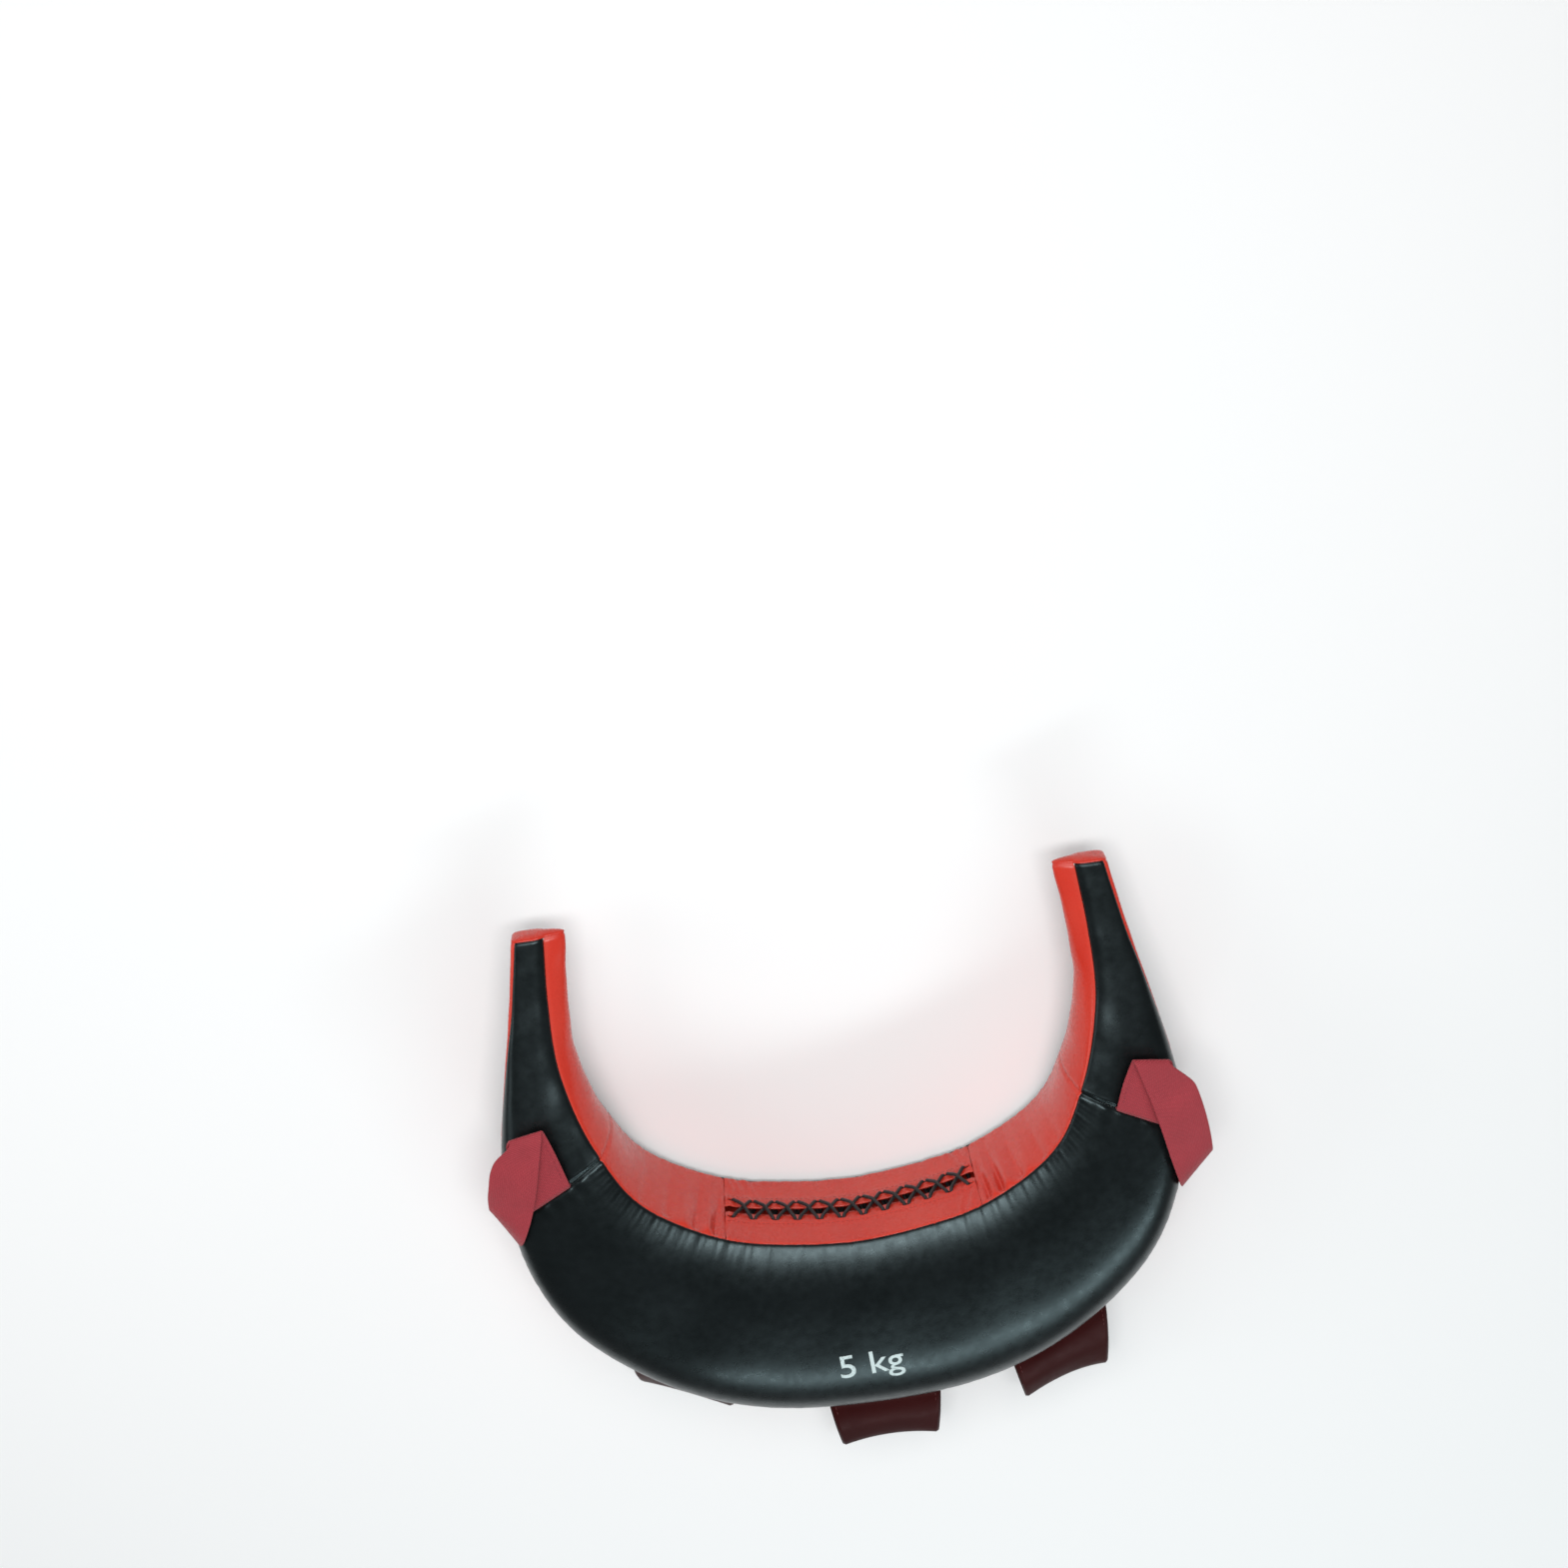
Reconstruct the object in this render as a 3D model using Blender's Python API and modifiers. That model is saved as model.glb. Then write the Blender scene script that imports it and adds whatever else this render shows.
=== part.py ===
"""Bulgarian bag: a crescent training bag that lies on its back, with its two horns toward +Y.

All sizes are in metres. The origin is on the floor under the middle of the belly. Stations
count along the bag from 0 at the middle of the belly to 5 at the cross seams, where the horns
begin, and 9 at the horn tips. They are positive on the +X side.
"""
import math
from collections import namedtuple

import bmesh
import bpy
from mathutils import Matrix, Vector

for old in list(bpy.data.objects):
    bpy.data.objects.remove(old, do_unlink=True)

# The crescent in plan
neck_half_width = 0.227
neck_depth = 0.3045
belly_width = 0.1615
shoulder_width = 0.0913
tip_width = 0.024

# The crescent in height, from the back seam to the front seam, and what swells past the seams
belly_gusset = 0.110
shoulder_gusset = 0.092
tip_gusset = 0.024
belly_crown = 0.012
shoulder_crown = 0.005
tip_crown = 0.002
belly_inner_bulge = 0.008
horn_inner_bulge = 0.010
belly_outer_bulge = 0.008
shoulder_outer_bulge = 0.007
tip_outer_bulge = 0.004
rest_depth = 0.0606

# Sheet goods and filling
skin = 0.003
seam_gap = 0.0003
lining_gap = 0.0009
wadding = 0.012
core_setback = 0.015
tip_cap_rise = 0.006
tip_cap_edge = 0.0015

# The laced closure in the inner gusset
hole_count = 12
hole_pitch = 0.0193
row_offset = 0.012
hem_edge = 0.004
lace = 0.003
lace_slack = 0.0004
tongue_sheet = 0.002
tongue_half_height = 0.020

# Webbing hand loops
loop_width = 0.040
webbing = 0.003
loop_size = 0.052
loop_lift = 0.012
loop_root_outset = 0.0055
loop_root_depth = 0.012
loop_root_sheet = 0.0022
loop_root_seat = 0.0009

# Grip bands on the outer gusset
band_root_width = 0.106
band_tip_width = 0.088
band_reach = 0.062
band_swell = 0.014
band_hollow = 0.006
band_sheet = 0.0035
band_clearance = 0.0008
centre_band_offset = 0.006
left_band_tilt = -34.0
right_band_tilt = -8.0
left_band_lean = 20.0
right_band_lean = -26.0
band_turn_share = 0.45
# Place across of a side band, as a share of the neck's half width
side_band_share = 0.74

# Shapes as shares, from the middle of the belly to the tip
last_station = 9
shoulder_station = 5
placket_share = 0.4
neck_across_shares = (0, 0.286, 0.493, 0.696, 0.819, 0.899, 0.956, 0.996, 0.996, 0.971)
neck_rise_shares = (0, 0.021, 0.058, 0.140, 0.235, 0.367, 0.494, 0.639, 0.803, 1)
cut_angles = (0, 8.1, 19.6, 31.5, 41.0, 61.2, 70.3, 75.0, 83.0, 90.0)
width_shares = (1, 1.016, 0.862, 0.637, 0.416, 1, 0.640, 0.305, 0.097, 0)
gusset_shares = (1, 0.95, 0.84, 0.62, 0.38, 1, 0.80, 0.52, 0.25, 0)
crown_shares = (1, 1, 1, 0.88, 0.62, 1, 0.83, 0.50, 0.25, 0)
# Grip band section, root to tip: share of the reach and share of the swell
band_section_shares = ((0.03, 0.25), (0.14, 0.52), (0.34, 0.95), (0.60, 1), (0.84, 0.68), (0.97, 0.36))
# Hand loop, front root to back root: shares of the loop size outward and up the horn, share of the
# root's height above the middle plane, share of the lift, and the turn of the webbing in degrees
right_loop_shares = (
    (0, 0, 1, 0, -28), (0.14, 0.52, 1, 0.25, -20), (0.30, 0.96, 1, 0.45, -10), (0.36, 1.10, 1, 0.72, -8),
    (0.40, 1.00, 1, 1, -6), (0.60, 0.42, 1, 0.95, 8), (0.73, -0.13, 1, 0.80, 18), (0.83, -0.68, 1, 0.5, 28),
    (0.91, -1.16, 1, 0.1, 38), (0.94, -1.38, 0.80, 0, 43), (0.96, -1.45, 0.42, 0, 45), (0.96, -1.47, 0, 0, 45),
    (0.96, -1.45, -0.42, 0, 45), (0.93, -1.37, -0.80, 0, 45), (0.80, -1.12, -1.01, 0, 48),
    (0.54, -0.58, -1.03, 0, 56), (0.27, -0.18, -1.03, 0, 60), (0, 0, -1.03, 0, 61))
left_loop_shares = (
    (0, 0, 1, 0, -28), (0.12, 0.62, 1, 0.25, -22), (0.25, 1.14, 1, 0.45, -14), (0.30, 1.30, 1, 0.72, -10),
    (0.34, 1.18, 1, 1, -6), (0.50, 0.70, 1, 0.95, 4), (0.63, 0.28, 1, 0.80, 14), (0.76, -0.15, 1, 0.5, 30),
    (0.87, -0.55, 1, 0.1, 46), (0.94, -0.78, 0.80, 0, 56), (0.98, -0.86, 0.42, 0, 58), (0.99, -0.88, 0, 0, 58),
    (0.98, -0.86, -0.42, 0, 58), (0.94, -0.79, -0.80, 0, 58), (0.80, -0.62, -1.01, 0, 59),
    (0.48, -0.32, -1.03, 0, 60), (0.22, -0.12, -1.03, 0, 61), (0, 0, -1.03, 0, 61))
# Where every layer of a section has its points across, so that neighbours stay parallel
row_shares = (-0.6, -0.3, 0, 0.3, 0.6)
# Mesh fineness
steps_per_station = 2
band_steps = 6
wall_steps = 4
arc_samples = 400

collection = bpy.data.collections.new("bulgarian_bag")
cutters = bpy.data.collections.new("cutters")
bpy.context.scene.collection.children.link(collection)
bpy.context.scene.collection.children.link(cutters)

Cut = namedtuple("Cut", "seam across width half_gusset crown inner_bulge outer_bulge")
up = Vector((0, 0, 1))


# Materials

def finish(name, colour, roughness, sheen=0.0):
    """A plain surface with the colour and roughness of the real one."""
    material = bpy.data.materials.new(name)
    material.use_nodes = True
    shader = material.node_tree.nodes["Principled BSDF"]
    shader.inputs["Base Color"].default_value = (*colour, 1)
    shader.inputs["Roughness"].default_value = roughness
    shader.inputs["Sheen Weight"].default_value = sheen
    return material


black_leather = finish("black_synthetic_leather", (0.012, 0.014, 0.014), 0.42)
red_leather = finish("red_synthetic_leather", (0.62, 0.035, 0.022), 0.45)
crimson_webbing = finish("crimson_webbing", (0.45, 0.035, 0.055), 0.75, 0.2)
black_cord = finish("black_lacing_cord", (0.01, 0.01, 0.01), 0.7)
pale_wadding = finish("pale_wadding", (0.62, 0.60, 0.55), 0.95)
sand_cloth = finish("sand_pouch_cloth", (0.42, 0.34, 0.23), 0.9)


# Shape of the bag at any station

def between(belly, shoulder, tip, shares):
    """One size at each whole station, from the belly's size to the shoulder's and then the tip's."""
    sizes = [shoulder + (belly - shoulder) * share for share in shares[:shoulder_station]]
    return sizes + [tip + (shoulder - tip) * share for share in shares[shoulder_station:]]


placket_station = placket_share * shoulder_station
widths = between(belly_width, shoulder_width, tip_width, width_shares)
gussets = between(belly_gusset, shoulder_gusset, tip_gusset, gusset_shares)
crowns = between(belly_crown, shoulder_crown, tip_crown, crown_shares)
inner_bulges = between(belly_inner_bulge, horn_inner_bulge, horn_inner_bulge, gusset_shares)
outer_bulges = between(belly_outer_bulge, shoulder_outer_bulge, tip_outer_bulge, gusset_shares)


def smooth(values, station, odd=False):
    """A smooth curve through one value for each whole station, mirrored about the belly's middle."""
    def value(index):
        size = abs(index)
        found = values[size] if size <= last_station else 2 * values[-1] - values[-2]
        return -found if odd and index < 0 else found

    first = min(math.floor(station), last_station - 1)
    part = station - first
    a, b, c, d = (value(first + step) for step in (-1, 0, 1, 2))
    slope_in = (c - a) / 2
    slope_out = (d - b) / 2
    bend = 2 * (b - c) + slope_in + slope_out
    return b + part * (slope_in + part * (3 * (c - b) - 2 * slope_in - slope_out + part * bend))


def cut_at(station):
    """The section across the bag at a station."""
    angle = math.radians(smooth(cut_angles, station, odd=True))
    seam = Vector((smooth(neck_across_shares, station, odd=True) * neck_half_width,
                   belly_width / 2 + smooth(neck_rise_shares, station) * neck_depth, rest_depth))
    return Cut(seam, Vector((math.sin(angle), -math.cos(angle), 0)), smooth(widths, station),
               smooth(gussets, station) / 2, smooth(crowns, station), smooth(inner_bulges, station),
               smooth(outer_bulges, station))


def place(cut, across, height):
    """A point of a section, from its middle: across toward the outer seam, height above mid-plane."""
    return cut.seam + cut.across * (cut.width / 2 + across) + up * height


def panel_height(cut, across, depth, side):
    """Height of the front panel (side 1) or the rested back panel (side -1) at a depth in the skin."""
    half_width = cut.width / 2 - depth
    height = cut.half_gusset - depth + cut.crown * max(0, 1 - (across / half_width) ** 2)
    return height if side > 0 else -min(height, rest_depth - depth)


def edge_height(cut, across, depth, side):
    """Height at a layer's long edge, on the straight facet from the last shared row to the seam."""
    last_row = row_shares[-1] * cut.width / 2
    seam_edge = cut.width / 2 - depth
    share = (abs(across) - last_row) / (seam_edge - last_row)
    row_height = panel_height(cut, last_row, depth, side)
    return row_height + (panel_height(cut, seam_edge, depth, side) - row_height) * share


def gusset_across(cut, height, depth, side):
    """Place across of the outer gusset (side 1) or the inner gusset (side -1) at a depth."""
    bulge = cut.outer_bulge if side > 0 else cut.inner_bulge
    swell = max(0, 1 - (height / (cut.half_gusset - depth)) ** 2)
    return side * (cut.width / 2 - depth + bulge * swell)


def row_places(cut, first, last):
    """Places across a panel from one edge to the other, at the shares that all layers use."""
    inner = [share * cut.width / 2 for share in row_shares]
    return [first] + (inner if first < last else inner[::-1]) + [last]


def spread(first, last, steps):
    """Evenly spaced values from first to last, both included."""
    return [first + (last - first) * step / steps for step in range(steps + 1)]


def stations(first, last):
    """Stations of a loft, on one grid for all the pieces, so that neighbours stay parallel."""
    grid = range(math.floor(first * steps_per_station) + 1, math.ceil(last * steps_per_station))
    return [first] + [index / steps_per_station for index in grid] + [last]


# Modelling helpers

def add(name, mesh, material, pivot=None):
    """Links a finished mesh as one sub-part, on its pivot if it moves."""
    thing = bpy.data.objects.new(name, mesh)
    collection.objects.link(thing)
    mesh.materials.append(material)
    if pivot:
        thing.parent = pivot
        thing.matrix_parent_inverse = pivot.matrix_world.inverted()
    return thing


def loft(name, rings, material, pivot=None):
    """A closed body through rings of points."""
    mesh = bpy.data.meshes.new(name)
    body = bmesh.new()
    rows = [[body.verts.new(point) for point in ring] for ring in rings]
    for row, following in zip(rows, rows[1:]):
        for corner in range(len(row)):
            after = (corner + 1) % len(row)
            body.faces.new((row[corner], row[after], following[after], following[corner]))
    body.faces.new(rows[0])
    body.faces.new(rows[-1])
    bmesh.ops.recalc_face_normals(body, faces=body.faces)
    body.to_mesh(mesh)
    body.free()
    return add(name, mesh, material, pivot)


def sheet(name, rows, thickness, material, pivot, wraps=False):
    """A sheet through rows of points, given its thickness by Solidify."""
    mesh = bpy.data.meshes.new(name)
    body = bmesh.new()
    grid = [[body.verts.new(point) for point in row] for row in rows]
    for row, following in zip(grid, grid[1:]):
        for corner in range(len(row) if wraps else len(row) - 1):
            after = (corner + 1) % len(row)
            body.faces.new((row[corner], row[after], following[after], following[corner]))
    bmesh.ops.recalc_face_normals(body, faces=body.faces)
    body.to_mesh(mesh)
    body.free()
    thing = add(name, mesh, material, pivot)
    wall = thing.modifiers.new("thickness", "SOLIDIFY")
    wall.thickness = thickness
    wall.offset = 0
    wall.use_even_offset = True
    return thing


def pivot_at(name, point):
    """An empty on a joint's axis."""
    empty = bpy.data.objects.new(name, None)
    empty.location = point
    empty.empty_display_size = loop_width
    collection.objects.link(empty)
    bpy.context.view_layer.update()
    return empty


# Sections of the skin and of the filling

def panel_ring(cut, side):
    """Section of the front or back panel, mitred into the gussets at its long edges."""
    outer_reach = cut.width / 2 - seam_gap
    inner_reach = outer_reach - skin
    face = [place(cut, n, panel_height(cut, n, 0, side)) for n in row_places(cut, -outer_reach, outer_reach)]
    back = [place(cut, n, panel_height(cut, n, skin, side)) for n in row_places(cut, inner_reach, -inner_reach)]
    return face + back


def gusset_ring(cut, side, low=None):
    """Section of a gusset. It is mitred into both panels, or has a plain edge at height low."""
    face_top = cut.half_gusset - seam_gap
    back_top = face_top - skin
    face_low = -face_top if low is None else low
    back_low = -back_top if low is None else low
    face = [place(cut, gusset_across(cut, z, 0, side), z) for z in spread(face_low, face_top, wall_steps)]
    back = [place(cut, gusset_across(cut, z, skin, side), z) for z in spread(back_top, back_low, wall_steps)]
    return face + back


def flipped(ring):
    """The same section on the other side of the middle plane."""
    return [Vector((point.x, point.y, 2 * rest_depth - point.z)) for point in ring]


def half_line(cut, depth, inner_depth, side, low):
    """Half of a section line inside the skin, from the inner wall over one panel to the outer wall."""
    inner_edge = inner_depth - cut.width / 2
    outer_edge = cut.width / 2 - depth
    inner_top = edge_height(cut, inner_edge, depth, side)
    outer_top = edge_height(cut, outer_edge, depth, side)
    points = []
    for height in spread(side * low, inner_top, wall_steps // 2)[:-1]:
        bulge = cut.inner_bulge * (1 - (height / inner_top) ** 2)
        points.append(place(cut, inner_edge - bulge, height))
    points.append(place(cut, inner_edge, inner_top))
    for across in row_places(cut, inner_edge, outer_edge)[1:-1]:
        points.append(place(cut, across, panel_height(cut, across, depth, side)))
    points.append(place(cut, outer_edge, outer_top))
    for height in spread(outer_top, side * low, wall_steps // 2)[1:]:
        bulge = cut.outer_bulge * (1 - (height / outer_top) ** 2)
        points.append(place(cut, outer_edge + bulge, height))
    return points


def full_line(cut, depth, inner_depth):
    """A whole closed section line inside the skin."""
    over = half_line(cut, depth, inner_depth, 1, 0)
    under = half_line(cut, depth, inner_depth, -1, 0)
    return over + under[-2:0:-1]


# The closure takes room behind the inner gusset: two runs of lace, one above the other, and the tongue
first_run_depth = skin + lace_slack + lace / 2
second_run_depth = first_run_depth + lace + 2 * lace_slack
tongue_depth = second_run_depth + lace / 2 + lace_slack
closure_room = tongue_depth + tongue_sheet + seam_gap
lining_depth = skin + lining_gap


def inner_room(station):
    """Depth of the filling behind the inner gusset: deeper behind the laced closure."""
    share = min(1, max(0, abs(station) - placket_station))
    ease = share * share * (3 - 2 * share)
    return closure_room + (lining_depth - closure_room) * ease


# Belly

seam_step = seam_gap / shoulder_width
belly_end = shoulder_station - seam_step
horn_start = shoulder_station + seam_step


def make_belly_skin():
    """Front and back panels, and the outer and inner gussets, between the cross seams."""
    whole = [cut_at(station) for station in stations(-belly_end, belly_end)]
    loft("front_body_panel", [panel_ring(cut, 1) for cut in whole], black_leather)
    loft("back_body_panel", [panel_ring(cut, -1) for cut in whole], black_leather)
    loft("outer_gusset", [gusset_ring(cut, 1) for cut in whole], red_leather)
    side = [cut_at(station) for station in stations(placket_station + seam_step, belly_end)]
    loft("right_inner_gusset", [gusset_ring(cut, -1) for cut in side], red_leather)
    side = [cut_at(station) for station in stations(-belly_end, -placket_station - seam_step)]
    loft("left_inner_gusset", [gusset_ring(cut, -1) for cut in side], red_leather)


def make_belly_filling():
    """Two wadding layers against the skin, round three sand pouches end to end."""
    layer_end = belly_end - seam_step
    span = stations(-layer_end, layer_end)
    for name, side in (("front_wadding", 1), ("back_wadding", -1)):
        rings = []
        for station in span:
            cut = cut_at(station)
            room = inner_room(station)
            face = half_line(cut, lining_depth, room, side, seam_gap)
            back = half_line(cut, lining_depth + wadding, room + wadding, side, seam_gap)
            rings.append(face + back[::-1])
        loft(name, rings, pale_wadding)
    pouch_depth = wadding + lining_gap
    pouch_seam = shoulder_station / 3
    pouch_gap = 4 * seam_step
    pouches = (("left_sand_pouch", -layer_end, -pouch_seam - pouch_gap),
               ("centre_sand_pouch", -pouch_seam, pouch_seam),
               ("right_sand_pouch", pouch_seam + pouch_gap, layer_end))
    for name, first, last in pouches:
        rings = [full_line(cut_at(station), lining_depth + pouch_depth, inner_room(station) + pouch_depth)
                 for station in stations(first, last)]
        loft(name, rings, sand_cloth)


# Laced closure

def inner_arc():
    """Distances along the inner gusset's middle line at samples from the belly's middle to the seam."""
    table = [0]
    last = None
    for sample in range(arc_samples + 1):
        cut = cut_at(shoulder_station * sample / arc_samples)
        point = place(cut, gusset_across(cut, 0, 0, -1), 0)
        if last:
            table.append(table[-1] + (point - last).length)
        last = point
    return table


inner_arc_table = inner_arc()


def closure_station(distance):
    """The station at a distance along the closure from the belly's middle."""
    after = next(index for index, arc in enumerate(inner_arc_table) if arc > abs(distance))
    before = inner_arc_table[after - 1]
    sample = after - 1 + (abs(distance) - before) / (inner_arc_table[after] - before)
    return math.copysign(shoulder_station * sample / arc_samples, distance)


def closure_point(distance, height, depth):
    """A point at a distance along the closure, a height from its middle line and a depth in the skin.

    It lies on the straight facets between the stations of the plackets.
    """
    place_on_grid = closure_station(distance) * steps_per_station
    before = math.floor(place_on_grid)
    cuts = [cut_at(index / steps_per_station) for index in (before, before + 1)]
    ends = [place(cut, gusset_across(cut, height, depth, -1), height) for cut in cuts]
    return ends[0].lerp(ends[1], place_on_grid - before)


def hole_places():
    """Distances of the lace holes along the closure."""
    return [(index - (hole_count - 1) / 2) * hole_pitch for index in range(hole_count)]


pass_offset = lace / 2 + lace_slack / 2
hole_half_length = pass_offset + lace / 2 + lace_slack
hole_half_height = lace / 2 + lace_slack


def cut_holes(placket, side):
    """Oval lace holes through a placket, each wide enough for two passes of the lace."""
    mesh = bpy.data.meshes.new(placket.name + "_holes")
    body = bmesh.new()
    for distance in hole_places():
        middle = closure_point(distance, side * row_offset, skin / 2)
        outside = closure_point(distance, side * row_offset, -skin)
        along = (closure_point(distance + lace, side * row_offset, skin / 2) - middle).normalized()
        out = (outside - middle).normalized()
        across = out.cross(along).normalized()
        turn = Matrix((along * hole_half_length, across * hole_half_height, out)).transposed().to_4x4()
        bmesh.ops.create_cone(body, cap_ends=True, segments=10, radius1=1, radius2=1, depth=4 * skin,
                              matrix=Matrix.Translation(middle) @ turn)
    bmesh.ops.recalc_face_normals(body, faces=body.faces)
    body.to_mesh(mesh)
    body.free()
    cutter = bpy.data.objects.new(placket.name + "_holes", mesh)
    cutter.hide_render = True
    cutter.display_type = "WIRE"
    cutters.objects.link(cutter)
    cut = placket.modifiers.new("lace_holes", "BOOLEAN")
    cut.operation = "DIFFERENCE"
    cut.object = cutter


def make_closure():
    """Two hemmed plackets that meet along the middle, a tongue behind them and the lace."""
    span = [cut_at(station) for station in stations(-placket_station, placket_station)]
    front = [gusset_ring(cut, -1, hem_edge) for cut in span]
    cut_holes(loft("front_placket", front, red_leather), 1)
    cut_holes(loft("back_placket", [flipped(ring) for ring in front], red_leather), -1)
    rings = []
    for cut in span:
        face = [place(cut, gusset_across(cut, z, tongue_depth, -1), z)
                for z in spread(-tongue_half_height, tongue_half_height, wall_steps)]
        back = [point + cut.across * tongue_sheet for point in reversed(face)]
        rings.append(face + back)
    loft("lacing_tongue", rings, red_leather)


def lace_route():
    """Points of the lace: along one way and back the other, crossing itself over and under."""
    places = hole_places()
    rest_height = -lace / 2 - lace_slack
    over_height = rest_height - lace - lace_slack
    points = []
    for index in range(hole_count - 1):
        start = places[index] + pass_offset
        end = places[index + 1] - pass_offset
        points.append(closure_point(start, -row_offset, second_run_depth if index else first_run_depth))
        points.append(closure_point(start, -row_offset, rest_height))
        points.append(closure_point((start + end) / 2, 0, over_height))
        points.append(closure_point(end, row_offset, rest_height))
        points.append(closure_point(end, row_offset, second_run_depth))
    for index in range(hole_count - 1, 0, -1):
        start = places[index] - pass_offset
        end = places[index - 1] + pass_offset
        depth = second_run_depth if index == hole_count - 1 else first_run_depth
        points.append(closure_point(start, -row_offset, depth))
        points.append(closure_point(start, -row_offset, rest_height))
        points.append(closure_point((start + end) / 2, 0, rest_height))
        points.append(closure_point(end, row_offset, rest_height))
        points.append(closure_point(end, row_offset, first_run_depth))
    return points


def make_lace():
    """One cord on the lace's route."""
    curve = bpy.data.curves.new("closure_lace", "CURVE")
    curve.dimensions = "3D"
    curve.bevel_depth = lace / 2
    curve.bevel_resolution = 2
    curve.use_fill_caps = True
    route = lace_route()
    line = curve.splines.new("POLY")
    line.points.add(len(route) - 1)
    for point, target in zip(line.points, route):
        point.co = (*target, 1)
    thing = bpy.data.objects.new("closure_lace", curve)
    thing.data.materials.append(black_cord)
    collection.objects.link(thing)


# Horns

def horn_span(side, first, last):
    """Sections of one horn from its root toward its tip."""
    return [cut_at(side * station) for station in stations(first, last)]


def make_horn(name, side):
    """One horn: four skin strips, the tip cap, soft wadding at the neck and a firm core beyond it."""
    low = cut_at(side * shoulder_station)
    pivot = pivot_at(name + "_horn_pivot", place(low, 0, 0))
    tip = last_station - seam_step
    skins = horn_span(side, horn_start, tip)
    loft(name + "_horn_front_panel", [panel_ring(cut, 1) for cut in skins], black_leather, pivot)
    loft(name + "_horn_back_panel", [panel_ring(cut, -1) for cut in skins], black_leather, pivot)
    loft(name + "_horn_inner_strip", [gusset_ring(cut, -1) for cut in skins], red_leather, pivot)
    loft(name + "_horn_outer_strip", [gusset_ring(cut, 1) for cut in skins], red_leather, pivot)
    root_pitch = (place(cut_at(side * (shoulder_station + 1)), 0, 0) - place(low, 0, 0)).length
    core_start = shoulder_station + core_setback / root_pitch
    fill = [full_line(cut, lining_depth, lining_depth)
            for cut in horn_span(side, horn_start, core_start - 2 * seam_step)]
    loft(name + "_neck_wadding", fill, pale_wadding, pivot)
    core = [full_line(cut, lining_depth, lining_depth) for cut in horn_span(side, core_start, tip)]
    loft(name + "_horn_core", core, pale_wadding, pivot)
    end = cut_at(side * last_station)
    outward = up.cross(end.across) * side
    rings = []
    for rise, inset in ((seam_gap, 0), (tip_cap_rise / 2, tip_cap_edge), (tip_cap_rise, 4 * tip_cap_edge)):
        rings.append([point + outward * rise for point in full_line(end, inset, inset)])
    loft(name + "_horn_tip_cap", rings, red_leather, pivot)


# Hand loops

def make_loop(name, side, shares):
    """A webbing loop from the front cross seam over the outer edge to the back cross seam."""
    seam = cut_at(side * shoulder_station)
    root = place(seam, loop_root_outset, 0)
    pivot = pivot_at(name + "_loop_pivot", root)
    panel_top = seam.half_gusset + seam.crown
    patch_top = panel_top + loop_root_seat + loop_root_sheet
    level = patch_top + seam_gap + webbing / 2
    for face, direction in (("front", 1), ("back", -1)):
        make_loop_root(name + "_loop_root_" + face, seam, panel_top + loop_root_seat, direction)
    line = []
    for out, rise, root_share, lift_share, turn in shares:
        centre = Vector((side * out, rise, 0)) * loop_size + up * (root_share * level + lift_share * loop_lift)
        angle = math.radians(turn)
        half = Vector((side * math.cos(angle), math.sin(angle), 0)) * loop_width / 2
        line.append((centre, half))
    rows = []
    for index in range(len(line) - 1):
        for part in (0, 0.5):
            centre, half = ribbon_point(line, index, part)
            rows.append([root + centre - half, root + centre, root + centre + half])
    rows.append([root + line[-1][0] - line[-1][1], root + line[-1][0], root + line[-1][0] + line[-1][1]])
    sheet(name + "_hand_loop", rows, webbing, crimson_webbing, pivot)


def ribbon_point(line, index, part):
    """Centre and half width between two stations of a ribbon, on a smooth curve."""
    before = line[max(index - 1, 0)]
    after = line[min(index + 2, len(line) - 1)]
    here, there = line[index], line[index + 1]
    if part == 0:
        return here
    return tuple((9 * (here[item] + there[item]) - before[item] - after[item]) / 16 for item in (0, 1))


def make_loop_root(name, seam, height, direction):
    """The sewn webbing end under a loop's ply, flat on the cross seam."""
    bpy.ops.mesh.primitive_cube_add(size=1)
    patch = bpy.context.object
    patch.name = name
    turn = Matrix((seam.across, up.cross(seam.across), up)).transposed().to_4x4()
    size = Matrix.Diagonal((loop_width, loop_root_depth, loop_root_sheet, 1))
    middle = place(seam, loop_root_outset, direction * (height + loop_root_sheet / 2))
    patch.data.transform(Matrix.Translation(middle) @ turn @ size)
    patch.data.materials.append(crimson_webbing)
    for holder in list(patch.users_collection):
        holder.objects.unlink(patch)
    collection.objects.link(patch)


# Grip bands

def outer_middle(station):
    """Middle of the outer gusset's face at a station."""
    cut = cut_at(station)
    return place(cut, gusset_across(cut, 0, 0, 1), 0)


def outer_station(origin, along, distance):
    """The station whose outer middle point lies a distance along a direction from an origin."""
    low, high = -shoulder_station, shoulder_station
    for _ in range(40):
        middle = (low + high) / 2
        if (outer_middle(middle) - origin).dot(along) < distance:
            low = middle
        else:
            high = middle
    return (low + high) / 2


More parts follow.
